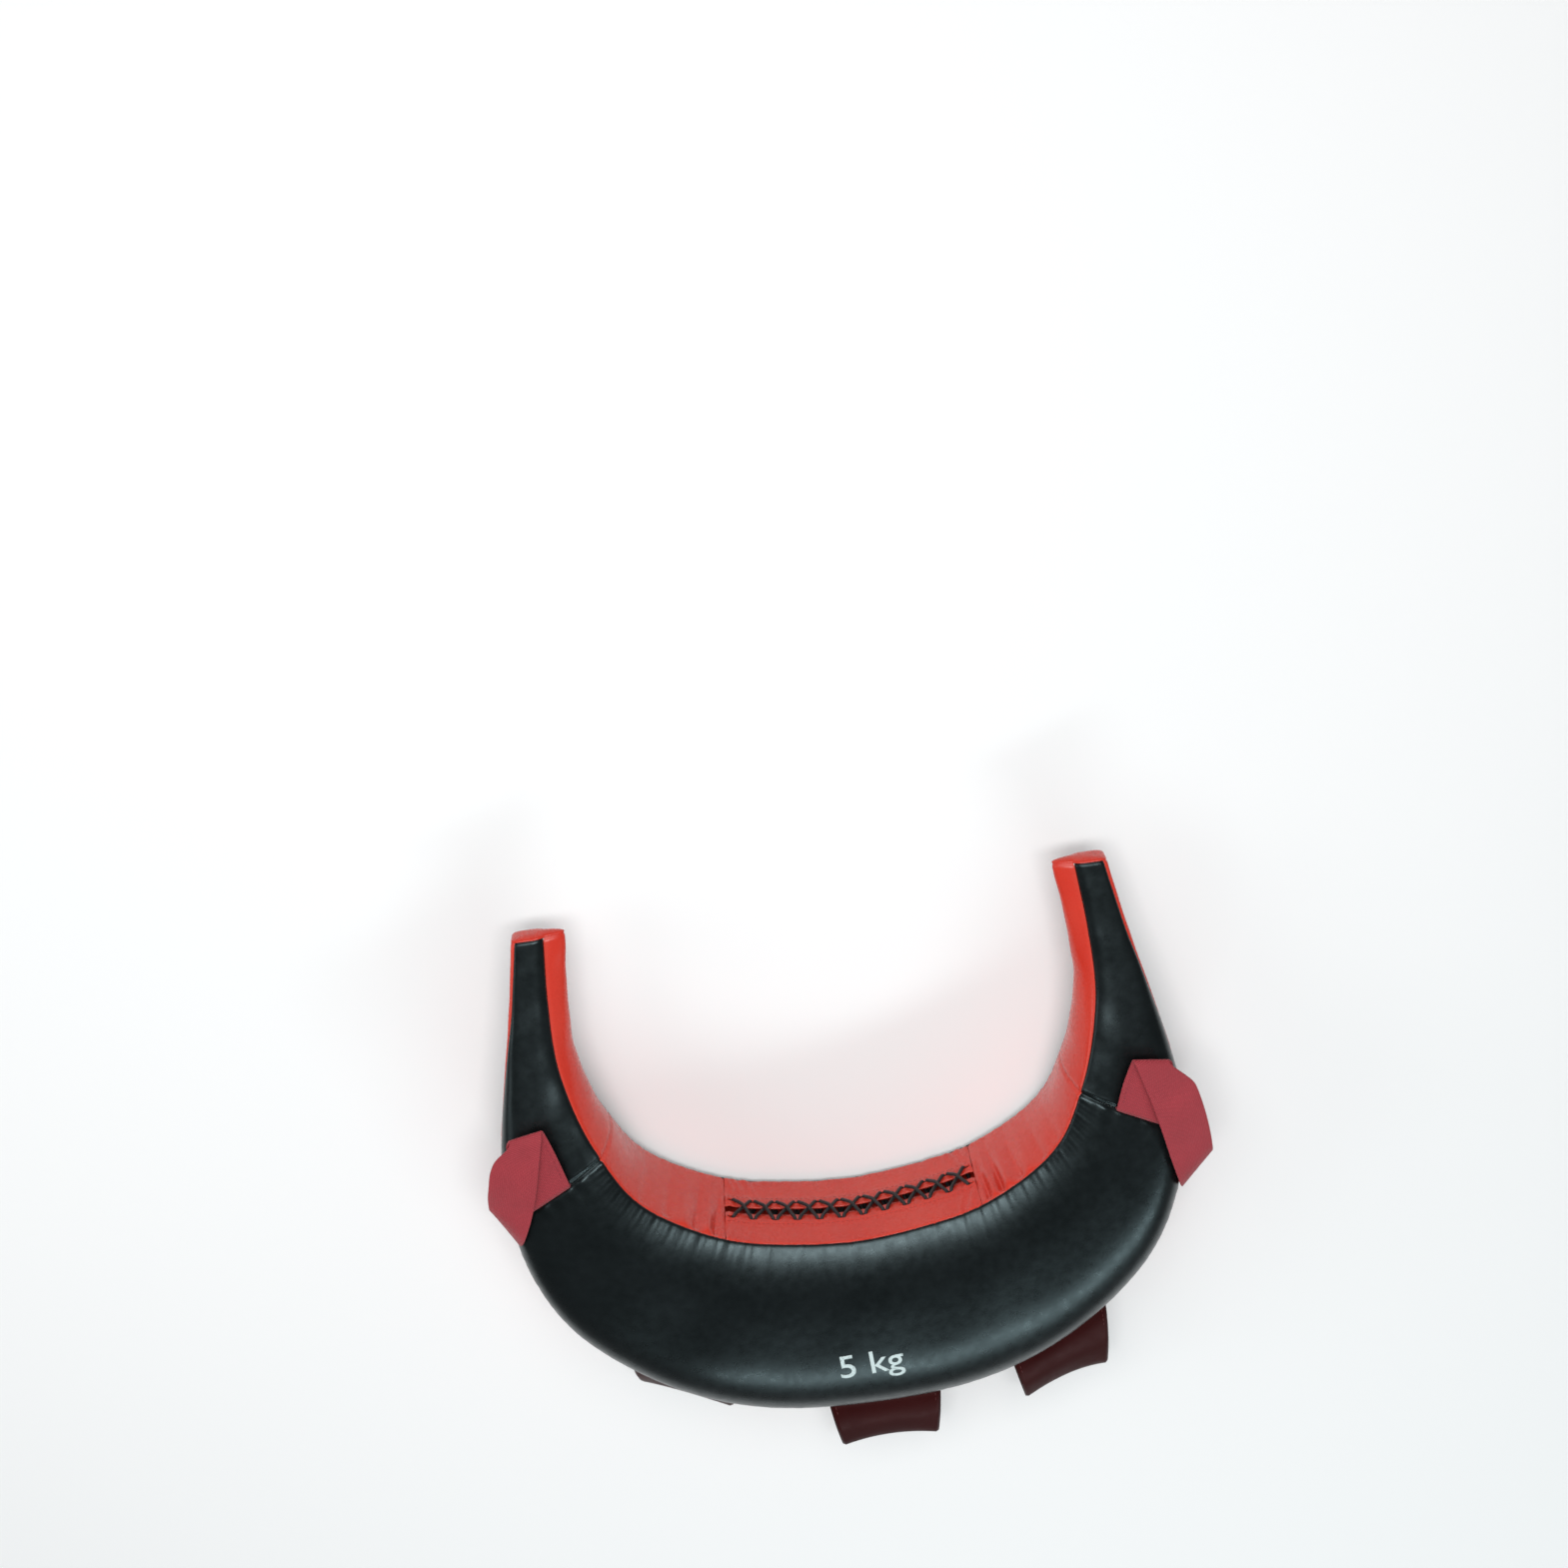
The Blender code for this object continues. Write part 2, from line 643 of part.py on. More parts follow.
def make_band(name, place_across, tilt, lean):
    """A grip band sewn along the outer gusset's middle: one strip folded into a flat loop.

    It is tilted about its root, and its soft fold leans along the bag by the lean's angle.
    """
    station = outer_station(Vector((0, 0, rest_depth)), Vector((1, 0, 0)), place_across)
    middle = outer_middle(station)
    step = 1 / arc_samples
    along = (outer_middle(station + step) - outer_middle(station - step)).normalized()
    out = along.cross(up)
    seat = band_clearance + band_sheet / 2
    pivot = pivot_at(name + "_band_pivot", middle + out * seat)
    turn = Matrix.Rotation(math.radians(-tilt), 4, along)
    slope = math.tan(math.radians(lean))
    rows = []
    for share in spread(-1, 1, band_steps):
        distance = share * band_root_width / 2
        foot = outer_middle(outer_station(middle, along, distance))
        drop = (foot - middle).dot(out)
        tip = band_reach + band_hollow * share * share - seat
        tip -= share * band_tip_width / 2 * slope * band_turn_share
        over = [band_point(share, drop, tip, *pair) for pair in band_section_shares]
        under = [(x, n, -z) for x, n, z in reversed(over)]
        line = [band_point(share, drop, tip, 0, 0)] + over + [band_point(share, drop, tip, 1, 0)] + under
        rows.append([pivot.location + turn @ (along * (x + (n - drop) * slope) + out * n + up * z)
                     for x, n, z in line])
    sheet(name + "_grip_band", rows, band_sheet, red_leather, pivot, wraps=True)


def band_point(share, drop, tip, reach_share, swell_share):
    """Place of a band's point along, out and up from the middle of its root."""
    half = (band_root_width + (band_tip_width - band_root_width) * reach_share) / 2
    return share * half, drop + (tip - drop) * reach_share, band_swell * swell_share


make_belly_skin()
make_belly_filling()
make_closure()
make_lace()
make_horn("left", -1)
make_horn("right", 1)
make_loop("left", -1, left_loop_shares)
make_loop("right", 1, right_loop_shares)
make_band("left", -side_band_share * neck_half_width, left_band_tilt, left_band_lean)
make_band("centre", centre_band_offset, 0, 0)
make_band("right", side_band_share * neck_half_width, right_band_tilt, right_band_lean)
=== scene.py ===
import math
from collections import namedtuple

import bpy
import numpy as np
from mathutils import Matrix, Vector


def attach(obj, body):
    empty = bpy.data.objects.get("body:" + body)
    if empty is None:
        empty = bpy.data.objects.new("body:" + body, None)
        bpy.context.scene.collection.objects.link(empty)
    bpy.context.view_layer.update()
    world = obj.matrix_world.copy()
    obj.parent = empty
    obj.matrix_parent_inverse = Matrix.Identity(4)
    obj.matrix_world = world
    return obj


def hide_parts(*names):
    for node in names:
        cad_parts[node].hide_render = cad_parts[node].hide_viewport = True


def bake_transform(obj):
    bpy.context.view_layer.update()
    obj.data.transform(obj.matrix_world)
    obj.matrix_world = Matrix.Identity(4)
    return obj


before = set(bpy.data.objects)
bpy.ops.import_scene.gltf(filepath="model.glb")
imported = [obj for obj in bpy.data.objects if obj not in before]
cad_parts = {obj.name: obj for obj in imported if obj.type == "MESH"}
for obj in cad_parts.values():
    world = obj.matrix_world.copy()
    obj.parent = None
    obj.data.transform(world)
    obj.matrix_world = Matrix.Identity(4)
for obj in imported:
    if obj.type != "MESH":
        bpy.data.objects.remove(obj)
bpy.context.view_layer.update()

# Camera
# It stands over the horns and looks down on the bag, at the photograph's angle and framing.
photo_side = 1569
focal_pixels = 2100
sight_pixel = (844, 1150)
sight = Vector((0, 0.14525, 0.0606))
camera_distance = 1.85
camera_slant = math.radians(30)
camera_roll = math.radians(8)

camera = bpy.data.objects.new("camera", bpy.data.cameras.new("camera"))
bpy.context.scene.collection.objects.link(camera)
bpy.context.scene.camera = camera
camera.data.sensor_width = 36
camera.data.lens = camera.data.sensor_width * focal_pixels / photo_side
view_back = Vector((0, math.sin(camera_slant), math.cos(camera_slant)))
view_right = Vector((1, 0, 0))
view_up = view_back.cross(view_right)
looking = Matrix((math.cos(camera_roll) * view_right - math.sin(camera_roll) * view_up,
                  math.sin(camera_roll) * view_right + math.cos(camera_roll) * view_up,
                  view_back)).transposed()
sight_ray = Vector((sight_pixel[0] - photo_side / 2, photo_side / 2 - sight_pixel[1], -focal_pixels))
panning = sight_ray.rotation_difference(Vector((0, 0, -1))).to_matrix()
camera.matrix_world = Matrix.Translation(sight + camera_distance * view_back) @ (looking @ panning).to_4x4()

# Floor and light
# A pale floor under soft lamps: two above the horns and the neck, a long one before the belly, and
# one at the left.
floor_size = 14
floor_colour = (0.80, 0.80, 0.80, 1)
floor_lift = 0.13
floor_roughness = 0.8
floor_gloss = 0.2
sky_colour = (0.95, 0.98, 1, 1)
sky_strength = 0.17


def wire(tree, target, inputs):
    """Sets a shader node's inputs to values, or links them to other sockets."""
    for socket, value in inputs.items():
        if isinstance(value, bpy.types.NodeSocket):
            tree.links.new(value, target.inputs[socket])
        else:
            target.inputs[socket].default_value = value


def node(tree, kind, inputs, **settings):
    """A new shader node with its settings and inputs."""
    made = tree.nodes.new("ShaderNode" + kind)
    for name, value in settings.items():
        setattr(made, name, value)
    wire(tree, made, inputs)
    return made


def joined(tree, operation, first, second):
    """The result of an arithmetic operation on two values."""
    return node(tree, "Math", {0: first, 1: second}, operation=operation).outputs[0]


def new_material(name):
    """A material and its node tree."""
    material = bpy.data.materials.new(name)
    material.use_nodes = True
    return material, material.node_tree


def paint(tree, colour, roughness, **more):
    """Sets or links the inputs of a material's surface shader."""
    inputs = {"Base Color": colour, "Roughness": roughness}
    inputs.update((name.replace("_", " "), value) for name, value in more.items())
    wire(tree, tree.nodes["Principled BSDF"], inputs)


bpy.ops.mesh.primitive_plane_add(size=floor_size)
floor = bpy.context.object
floor.name = "floor"
floor_paint, floor_tree = new_material("floor_paint")
floor.data.materials.append(floor_paint)
# The camera, and anything glossy or clear, sees the floor lifted toward white, with the shadow kept
floor_rays = node(floor_tree, "LightPath", {}).outputs
floor_seen = floor_rays["Is Camera Ray"]
for ray in ("Is Glossy Ray", "Is Transmission Ray"):
    floor_seen = joined(floor_tree, "MAXIMUM", floor_seen, floor_rays[ray])
floor_light = joined(floor_tree, "MULTIPLY", floor_seen, floor_lift)
paint(floor_tree, floor_colour, floor_roughness, Specular_IOR_Level=floor_gloss, Emission_Color=(1, 1, 1, 1),
      Emission_Strength=floor_light)


def lamp(name, place, aim, size, power, colour=(1, 1, 1)):
    """A soft rectangular lamp at a place, turned toward its aim."""
    light = bpy.data.lights.new(name, "AREA")
    light.shape = "RECTANGLE"
    light.size, light.size_y = size
    light.energy = power
    light.color = colour
    holder = bpy.data.objects.new(name, light)
    bpy.context.scene.collection.objects.link(holder)
    holder.location = place
    holder.rotation_euler = (Vector(aim) - Vector(place)).to_track_quat("-Z", "Y").to_euler()


lamp("horn_lamp", (-0.2, 1.7, 2.1), (0, 0.1, 0), (2.0, 1.0), 21)
lamp("neck_lamp", (0, 0.95, 2.3), (0, 0.1, 0), (1.3, 0.38), 27)
lamp("belly_lamp", (0.6, -1.8, 1.65), (0, 0, 0), (2.6, 0.30), 26, (0.86, 0.98, 1))
lamp("left_lamp", (-2.3, 0.7, 1.3), (0, 0.1, 0), (1.2, 1.2), 11)

world = bpy.data.worlds.new("studio")
bpy.context.scene.world = world
world.use_nodes = True
wire(world.node_tree, world.node_tree.nodes["Background"], {"Color": sky_colour, "Strength": sky_strength})
bpy.context.scene.view_settings.view_transform = "Standard"

# Front panel
# A crescent of black synthetic leather, sewn inside out to both gussets and, at its ends, to the
# panels of the horns. The filling domes it and rounds its outer side, and the seam gathers its edge.
neck_half_width = 0.227
neck_depth = 0.3045
# Sizes in the middle of the belly, at the shoulders and at the tips
widths = (0.1615, 0.0913, 0.024)
gussets = (0.110, 0.092, 0.018)
crowns = (0.0155, 0.0055, 0.002)
inner_bulges = (0.0066, 0.010, 0.0170)
outer_bulges = (0.0155, 0.009, 0.004)
rest_depth = 0.0606
last_station = 9
shoulder_station = 5
seam_step = 0.0033
neck_across_shares = (0, 0.286, 0.493, 0.696, 0.819, 0.899, 0.956, 0.996, 0.996, 0.971)
neck_rise_shares = (0, 0.021, 0.058, 0.140, 0.235, 0.367, 0.494, 0.639, 0.803, 1.001)
cut_angles = (0, 8.1, 19.6, 31.5, 41.0, 61.2, 70.3, 75.0, 83.0, 90.0)
width_shares = (1, 1.016, 0.862, 0.637, 0.416, 1, 0.640, 0.305, 0.097, 0)
gusset_shares = (1, 0.95, 0.84, 0.62, 0.38, 1, 0.80, 0.52, 0.25, 0)
crown_shares = (1, 1, 1, 0.88, 0.62, 1, 0.83, 0.50, 0.25, 0)
# How round the outer side of a section is: 1 where sand fills it, 0 where it is flat and crisp
round_shares = (1, 1, 0.96, 0.88, 0.72, 0.48, 0.28, 0.14, 0.05, 0)
crisp_power, round_power = 6, 2.75
# How far out the outer seam lies, as a share of the way from the seam line to the fullest point
seam_shares = (0.66, 0.68, 0.72, 0.78, 0.82, 0.88, 0.95, 0.92, 0.62, 0.35)
# How far the filling presses the inner seam into the neck, in metres at each whole station
inner_seam_reach = (0.0055, 0.0056, 0.0060, 0.0058, 0.0036, 0.0012, 0, 0, 0, 0)
left_draw = 0.06
inner_roll = 0.002
inner_edge_power = 2.8
line_samples = 160
belly_columns, belly_rows = 340, 64
station_crowding = 1.3
panel_thickness = 0.0016
tuck_depth, tuck_reach, tuck_power = 0.0011, 0.0014, 1.5
floor_contact = 0.0005
front_gather, back_gather = 0.0009, 0.0006
gather_waves = ((0.0112, 0), (0.0071, 2), (0.0183, 4), (0.031, 1))
gather_lean, gather_reach, outer_gather_share = 0.15, 0.010, 0.6
calm_share, calm_station = 0.3, 2.6
dent_waves = ((0.31, 1), (0.17, 3), (0.11, 5))
dent_depth, dent_lean = 0.0010, 0.5
cross_tuck, cross_tuck_reach = 0.0016, 0.0028
drawn_waves = ((0.021, 1), (0.013, 2))
drawn_depth, drawn_reach, drawn_start = 0.0011, 0.012, 0.004
cloud_scale, crease_scale, pebble_scale = 14, 120, 560
cloud_range, cloud_wear = (0.35, 0.75), 0.45
crease_range, crease_strength, crease_depth = (0.3, 0.7), 0.20, 0.0004
pebble_strength, pebble_depth = 0.07, 0.0002

Cut = namedtuple("Cut", "x y angle half gusset top inner_bulge reach power seam_out seam_in")


def smooth(values, station, odd=False):
    """A smooth curve through one value for each whole station, mirrored about the belly's middle."""
    line = np.array(list(values) + [2 * values[-1] - values[-2]], float)
    first = np.clip(np.floor(station), -last_station, last_station - 1).astype(int)
    part = station - first
    corners = []
    for step in (-1, 0, 1, 2):
        index = first + step
        corners.append(line[abs(index)] * (np.where(index < 0, -1, 1) if odd else 1))
    a, b, c, d = corners
    slope_in = (c - a) / 2
    slope_out = (d - b) / 2
    bend = 2 * (b - c) + slope_in + slope_out
    return b + part * (slope_in + part * (3 * (c - b) - 2 * slope_in - slope_out + part * bend))


def sized(sizes, shares, station):
    """A size along the bag, from the belly's to the shoulder's and then the tip's."""
    belly, shoulder, tip = sizes
    values = [shoulder + (belly - shoulder) * share for share in shares[:shoulder_station]]
    return smooth(values + [tip + (shoulder - tip) * share for share in shares[shoulder_station:]], station)


def cuts_at(station):
    """Sections across the bag at an array of stations, which count from the belly's middle to the tips."""
    half = sized(widths, width_shares, station) / 2
    gusset = sized(gussets, gusset_shares, station) / 2
    crown = sized(crowns, crown_shares, station)
    inner = sized(inner_bulges, gusset_shares, station)
    outer = sized(outer_bulges, gusset_shares, station)
    power = crisp_power - (crisp_power - round_power) * smooth(round_shares, station)
    seam_in = smooth(inner_seam_reach, station) * (1 - left_draw * station)
    cut = Cut(smooth(neck_across_shares, station, odd=True) * neck_half_width,
              widths[0] / 2 + smooth(neck_rise_shares, station) * neck_depth,
              np.radians(smooth(cut_angles, station, odd=True)),
              half, gusset, gusset + crown, inner - seam_in, half + outer, power,
              half + smooth(seam_shares, station) * outer, half + seam_in)
    return Cut(*(value[:, None] for value in cut))


def placed(cut, across, height):
    """Points of sections, from their middles: across toward the outer seam, height above mid-plane."""
    run = cut.half + across
    return np.stack([cut.x + np.sin(cut.angle) * run, cut.y - np.cos(cut.angle) * run,
                     rest_depth + height + 0 * run], -1)


def rounded(cut, share):
    """The rounded outer side of a section: its share of the top at a share of the reach, or the reverse."""
    return (1 - share ** cut.power) ** (1 / cut.power)


def panel_line(cut, side):
    """Section of the front panel (side 1) or back panel (side -1), from the inner to the outer seam."""
    share = np.linspace(0, 1, line_samples)[None]
    low = cut.gusset - inner_roll
    inner = (share - 1) * cut.seam_in
    inner_height = cut.top - (cut.top - low) * (1 - share) ** inner_edge_power
    outer = cut.seam_out * (1 - (1 - share) ** 2)
    outer_height = cut.top * rounded(cut, outer / cut.reach)
    across = np.concatenate([inner, outer[:, 1:]], 1)
    height = np.concatenate([inner_height, outer_height[:, 1:]], 1)
    return across, height if side > 0 else -np.minimum(height, rest_depth)


def crowded(count, strength=1.6):
    """Shares from 0 to 1 that lie closer together toward both ends, where the seams are."""
    return 0.5 + 0.5 * np.tanh(strength * np.linspace(-1, 1, count)) / np.tanh(strength)


def sampled(line, shares):
    """The places on each section line at the given shares of its length."""
    found = []
    for across, height in zip(*np.broadcast_arrays(*line)):
        run = np.concatenate([[0], np.cumsum(np.hypot(np.diff(across), np.diff(height)))])
        found.append([np.interp(shares * run[-1], run, values) for values in (across, height)])
    found = np.array(found)
    return found[:, 0], found[:, 1]


def lengths(points, axis):
    """Distance run along an axis of a grid of points."""
    steps = np.linalg.norm(np.diff(points, axis=axis), axis=2)
    return np.insert(np.cumsum(steps, axis=axis), 0, 0, axis=axis)


def unit(vectors):
    """The vectors at a length of 1."""
    return vectors / np.linalg.norm(vectors, axis=-1, keepdims=True)


def outward(points, centre):
    """Unit normals of a grid of points that point away from its sections' centres."""
    normal = np.cross(np.gradient(points, axis=0), np.gradient(points, axis=1))
    normal /= np.linalg.norm(normal, axis=2, keepdims=True) + 1e-12
    return normal * np.sign(np.sum(normal * (points - centre), axis=(1, 2), keepdims=True))


def ripple(run, waves):
    """An uneven wave along a distance, between -1 and 1, from pairs of wave length and phase."""
    return sum(np.sin(2 * np.pi * run / length + phase) for length, phase in waves) / len(waves)


def bell(distance, spread):
    """A smooth bump: 1 at no distance, and nearly 0 two spreads away."""
    return np.exp(-(distance / spread) ** 2)


def tucked(points, centre, edge, distance):
    """The grid with one long edge drawn in toward the filling, as a turned seam draws it."""
    inward = unit(centre - points[:, edge:edge + 1 or None])
    return points + inward * (tuck_depth * np.exp(-(distance / tuck_reach) ** tuck_power))[..., None]


def thicken(piece, thickness):
    """A wall under the piece's face."""
    wall = piece.modifiers.new("wall", "SOLIDIFY")
    wall.thickness = thickness
    wall.offset = -1
    bpy.ops.object.modifier_apply(modifier=wall.name)


def leather_sheet(name, points, centre, thickness, finish, wear_and_highlight=None, gone=None):
    """A grid pulled to its points, with a UV map in metres, and thickened toward the filling."""
    facing = np.cross(np.gradient(points, axis=0), np.gradient(points, axis=1))
    if np.sum(facing * (points - centre)) < 0:
        points, wear_and_highlight, gone = (grid if grid is None else grid[:, ::-1] for grid in (points, wear_and_highlight, gone))
    columns, rows = points.shape[:2]
    bpy.ops.mesh.primitive_grid_add(x_subdivisions=columns - 1, y_subdivisions=rows - 1, size=2)
    piece = bpy.context.object
    piece.name = piece.data.name = name
    mesh = piece.data
    spots = np.empty(len(mesh.vertices) * 3)
    mesh.vertices.foreach_get("co", spots)
    column = np.rint((spots[0::3] + 1) / 2 * (columns - 1)).astype(int)
    row = np.rint((spots[1::3] + 1) / 2 * (rows - 1)).astype(int)
    mesh.vertices.foreach_set("co", points[column, row].ravel())
    corner = np.empty(len(mesh.loops), int)
    mesh.loops.foreach_get("vertex_index", corner)
    along = lengths(points, 0)[:, rows // 2][column]
    across = lengths(points, 1)[column, row]
    mesh.uv_layers.active.data.foreach_set("uv", np.stack([along[corner], across[corner]], -1).ravel())
    wear = mesh.attributes.new("wear_and_highlight", "FLOAT", "POINT")
    if wear_and_highlight is not None:
        wear.data.foreach_set("value", wear_and_highlight[column, row].astype(np.float32))
    mesh.update()
    if gone is not None:
        bpy.ops.object.mode_set(mode="EDIT")
        bpy.ops.mesh.select_mode(type="VERT")
        bpy.ops.mesh.select_all(action="DESELECT")
        bpy.ops.object.mode_set(mode="OBJECT")
        mesh.vertices.foreach_set("select", gone[column, row])
        bpy.ops.object.mode_set(mode="EDIT")
        bpy.ops.mesh.delete(type="VERT")
        bpy.ops.object.mode_set(mode="OBJECT")
    bpy.ops.object.shade_smooth()
    if thickness:
        thicken(piece, thickness)
    mesh.materials.append(finish)
    return piece


def skin(name, stations, line, rows, relief, wear, finish, thickness):
    """A skin piece over a span of stations, with its relief, and its wear and any painted highlight, tucked
    into its long seams.
    """
    cut = cuts_at(stations)
    centre = placed(cut, 0, 0)
    points = placed(cut, *sampled(line(cut), crowded(rows)))
    across = lengths(points, 1)
    width = across[:, -1:]
    along = lengths(points, 0)[:, rows // 2:rows // 2 + 1]
    end = np.minimum(along, along[-1] - along)
    amount = relief(along, across, width, end) * (points[..., 2] > floor_contact)
    points = points + amount[..., None] * outward(points, centre)
    points = tucked(points, centre, 0, across)
    points = tucked(points, centre, -1, width - across)
    points[..., 2] = np.maximum(points[..., 2], 0)
    wear_and_highlight = np.clip(wear(along, np.minimum(across, width - across), end), 0, 1)
    return leather_sheet(name, points, centre, thickness, finish, wear_and_highlight)


def worn(edge_share, edge_reach, end_share, end_reach):
    """Wear along the long seams and the ends of a skin piece, each with its amount and reach."""
    return lambda along, edge, end: (edge_share * np.exp(-edge / edge_reach)
                                     + end_share * np.exp(-end / end_reach))


def texture(tree, kind, scale, **more):
    """The outputs of a procedural texture in the piece's own coordinates."""
    place = node(tree, "TexCoord", {}).outputs["Object"]
    return node(tree, kind, {"Vector": place, "Scale": scale, **more}).outputs


def ranged(tree, value, source, low, high):
    """A value carried from a source range to the range from low to high."""
    return node(tree, "MapRange", {0: value, 1: source[0], 2: source[1], 3: low, 4: high}).outputs[0]


def mixed(tree, factor, dark, light):
    """A colour between two."""
    return node(tree, "Mix", {"Factor": factor, 6: (*dark, 1), 7: (*light, 1)}, data_type="RGBA").outputs[2]


def bump(tree, height, strength, depth, **more):
    """Fine relief from a height."""
    return node(tree, "Bump", {"Height": height, "Strength": strength, "Distance": depth, **more}).outputs[0]


def leather(name, colour, worn_and_highlight_colour, roughness, gloss_change, gloss_level, gloss_colour=(1, 1, 1)):
    """Coated cloth with a fine pebble grain, cloudy tone, soft creases and paler, drier seam edges. The same
    paler colour also paints a highlight where a piece marks one.
    """
    material, tree = new_material(name)
    clouds = texture(tree, "TexNoise", cloud_scale, Detail=1)["Fac"]
    creases = texture(tree, "TexNoise", crease_scale, Detail=2)["Fac"]
    pebbles = texture(tree, "TexVoronoi", pebble_scale)["Distance"]
    wear_and_highlight = node(tree, "Attribute", {}, attribute_name="wear_and_highlight").outputs["Fac"]
    wear = ranged(tree, clouds, cloud_range, 0, cloud_wear)
    grain = bump(tree, pebbles, pebble_strength, pebble_depth)
    paint(tree, mixed(tree, joined(tree, "MAXIMUM", wear, wear_and_highlight), colour, worn_and_highlight_colour),
          ranged(tree, creases, crease_range, roughness - gloss_change, roughness + gloss_change),
          Specular_IOR_Level=gloss_level, Specular_Tint=(*gloss_colour, 1),
          Normal=bump(tree, creases, crease_strength, crease_depth, Normal=grain))
    return material


# The black's paler colour is wear at the seams, and on the horns also a painted highlight along the root
# ridge
black_leather = leather("black_leather", (0.0028, 0.0036, 0.0038), (0.009, 0.011, 0.012), 0.30, 0.04, 0.36,
                        (0.72, 0.95, 1))
belly_wear = worn(0.55, 0.0022, 0.3, 0.003)
belly_end = shoulder_station - seam_step
belly_stations = -belly_end + 2 * belly_end * crowded(belly_columns, station_crowding)


def belly_panel(name, side, gather, cad_node):
    """The front or back panel of the belly, with gathers along its seams and slow dents."""
    def relief(along, across, width, end):
        calm = calm_share + (1 - calm_share) * np.exp(-(belly_stations[:, None] / calm_station) ** 4)
        puckers = gather * ripple(along + gather_lean * across, gather_waves)
        amount = puckers * np.exp(-across / gather_reach) * calm
        amount += outer_gather_share * puckers * np.exp(-(width - across) / gather_reach)
        dents = ripple(along + dent_lean * across, dent_waves) * np.sin(np.pi * across / width)
        amount += dent_depth * dents * (side > 0)
        amount -= cross_tuck * bell(end, cross_tuck_reach)
        amount += drawn_depth * ripple(across, drawn_waves) * np.exp(-end / drawn_reach) \
            * (1 - bell(end, drawn_start))
        return amount if side > 0 else np.minimum(amount, 0)

    piece = skin(name, belly_stations, lambda cut: panel_line(cut, side), belly_rows, relief,
                 belly_wear, black_leather, panel_thickness)
    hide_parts(cad_node)
    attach(piece, "belly")
    return piece


front_panel = belly_panel("front_skin", 1, front_gather, "front_body_panel")

# Back panel
# The same crescent on the side that the bag lies on. The weight presses it flat on the floor.
belly_panel("back_skin", -1, back_gather, "back_body_panel")

# Gussets
# Red synthetic leather strips between the two panels. The outer one runs round the belly in one
# piece, and the inner one is two pieces, one on each side of the laced closure.
sides = (("left", -1), ("right", 1))
gusset_thickness = 0.0015
placket_station = 2
outer_rows, inner_rows, inner_columns = 40, 44, 210
strip_tuck, strip_tuck_reach = 0.0012, 0.0022
outer_gather, outer_gather_reach = 0.0006, 0.009
outer_gather_waves = ((0.013, 0), (0.0087, 1), (0.027, 3))
# Folds across the inner gusset, counted from the placket: distance, depth and half width
right_folds = ((0.005, -0.0016, 0.0022), (0.0115, 0.0016, 0.0030), (0.018, -0.0021, 0.0022),
               (0.026, 0.0020, 0.0042), (0.037, -0.0015, 0.0030), (0.048, 0.0012, 0.0050),
               (0.063, -0.0010, 0.0040), (0.084, -0.0006, 0.0050))
left_folds = ((0.006, -0.0014, 0.0024), (0.014, 0.0019, 0.0035), (0.024, -0.0016, 0.0030),
              (0.036, 0.0015, 0.0060), (0.052, -0.0009, 0.0040), (0.075, -0.0005, 0.0050))
fold_lean, fold_seam_reach = 0.06, 0.004
fold_least, fold_gain, fold_peak_share, fold_spread_share = 0.25, 1.35, 0.10, 0.40
pucker_waves = ((0.009, 0), (0.0143, 2))
pucker_depth, pucker_reach, pucker_start = 0.00035, 0.006, 0.02

red_leather = leather("red_leather", (0.60, 0.036, 0.020), (0.67, 0.070, 0.045), 0.27, 0.03, 0.34)
strip_wear = worn(0.5, 0.002, 0.15, 0.002)


def outer_line(cut):
    """Section of the outer gusset, from the front seam round to the back seam."""
    height = cut.top * rounded(cut, cut.seam_out / cut.reach) * np.linspace(1, -1, line_samples)[None]
    return cut.reach * rounded(cut, abs(height) / cut.top), height


def inner_side(cut, height, seam_height):
    """Where the inner side of a section lies at a height, bulged into the neck between its seams."""
    return -cut.seam_in - cut.inner_bulge * (1 - (height / seam_height) ** 2)


def inner_line(cut):
    """Section of the inner gusset, from the front seam down to the back seam."""
    seam_height = cut.gusset - inner_roll
    height = seam_height * np.linspace(1, -1, line_samples)[None]
    return inner_side(cut, height, seam_height), height


def strip(name, stations, line, rows, relief):
    """A red strip over a span of stations, whose ends are tucked into their seams."""
    def full_relief(along, across, width, end):
        return relief(along, across, width) - strip_tuck * bell(end, strip_tuck_reach)

    piece = skin(name, stations, line, rows, full_relief, strip_wear, red_leather, gusset_thickness)
    return piece


def outer_relief(along, across, width):
    """Shallow gathers at both seams of the outer gusset."""
    edge = np.minimum(across, width - across)
    return outer_gather * ripple(along, outer_gather_waves) * np.exp(-edge / outer_gather_reach)


def folded(folds):
    """Relief of an inner gusset with its folds, which are counted from the strip's first edge."""
    def relief(along, across, width):
        lean = along + fold_lean * (across - width / 2)
        fade = fold_least + fold_gain * bell(across / width - fold_peak_share, fold_spread_share)
        edge = np.minimum(across, width - across)
        amount = sum(depth * bell(lean - place, spread) for place, depth, spread in folds)
        amount *= 1 - bell(edge, fold_seam_reach)
        small = pucker_depth * ripple(along, pucker_waves) * np.exp(-edge / pucker_reach)
        return amount * fade + small * np.clip(along / pucker_start, 0, 1)
    return relief


outer_gusset = strip("outer_gusset_skin", belly_stations, outer_line, outer_rows, outer_relief)
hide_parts("outer_gusset")
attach(outer_gusset, "belly")
gusset_run = crowded(inner_columns, station_crowding)
for (side_name, side), folds in zip(sides, (left_folds, right_folds)):
    first, last = side * (placket_station + seam_step), side * belly_end
    gusset = strip(side_name + "_inner_gusset_skin", first + (last - first) * gusset_run, inner_line,
                   inner_rows, folded(folds))
    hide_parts(side_name + "_inner_gusset")
    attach(gusset, "belly")

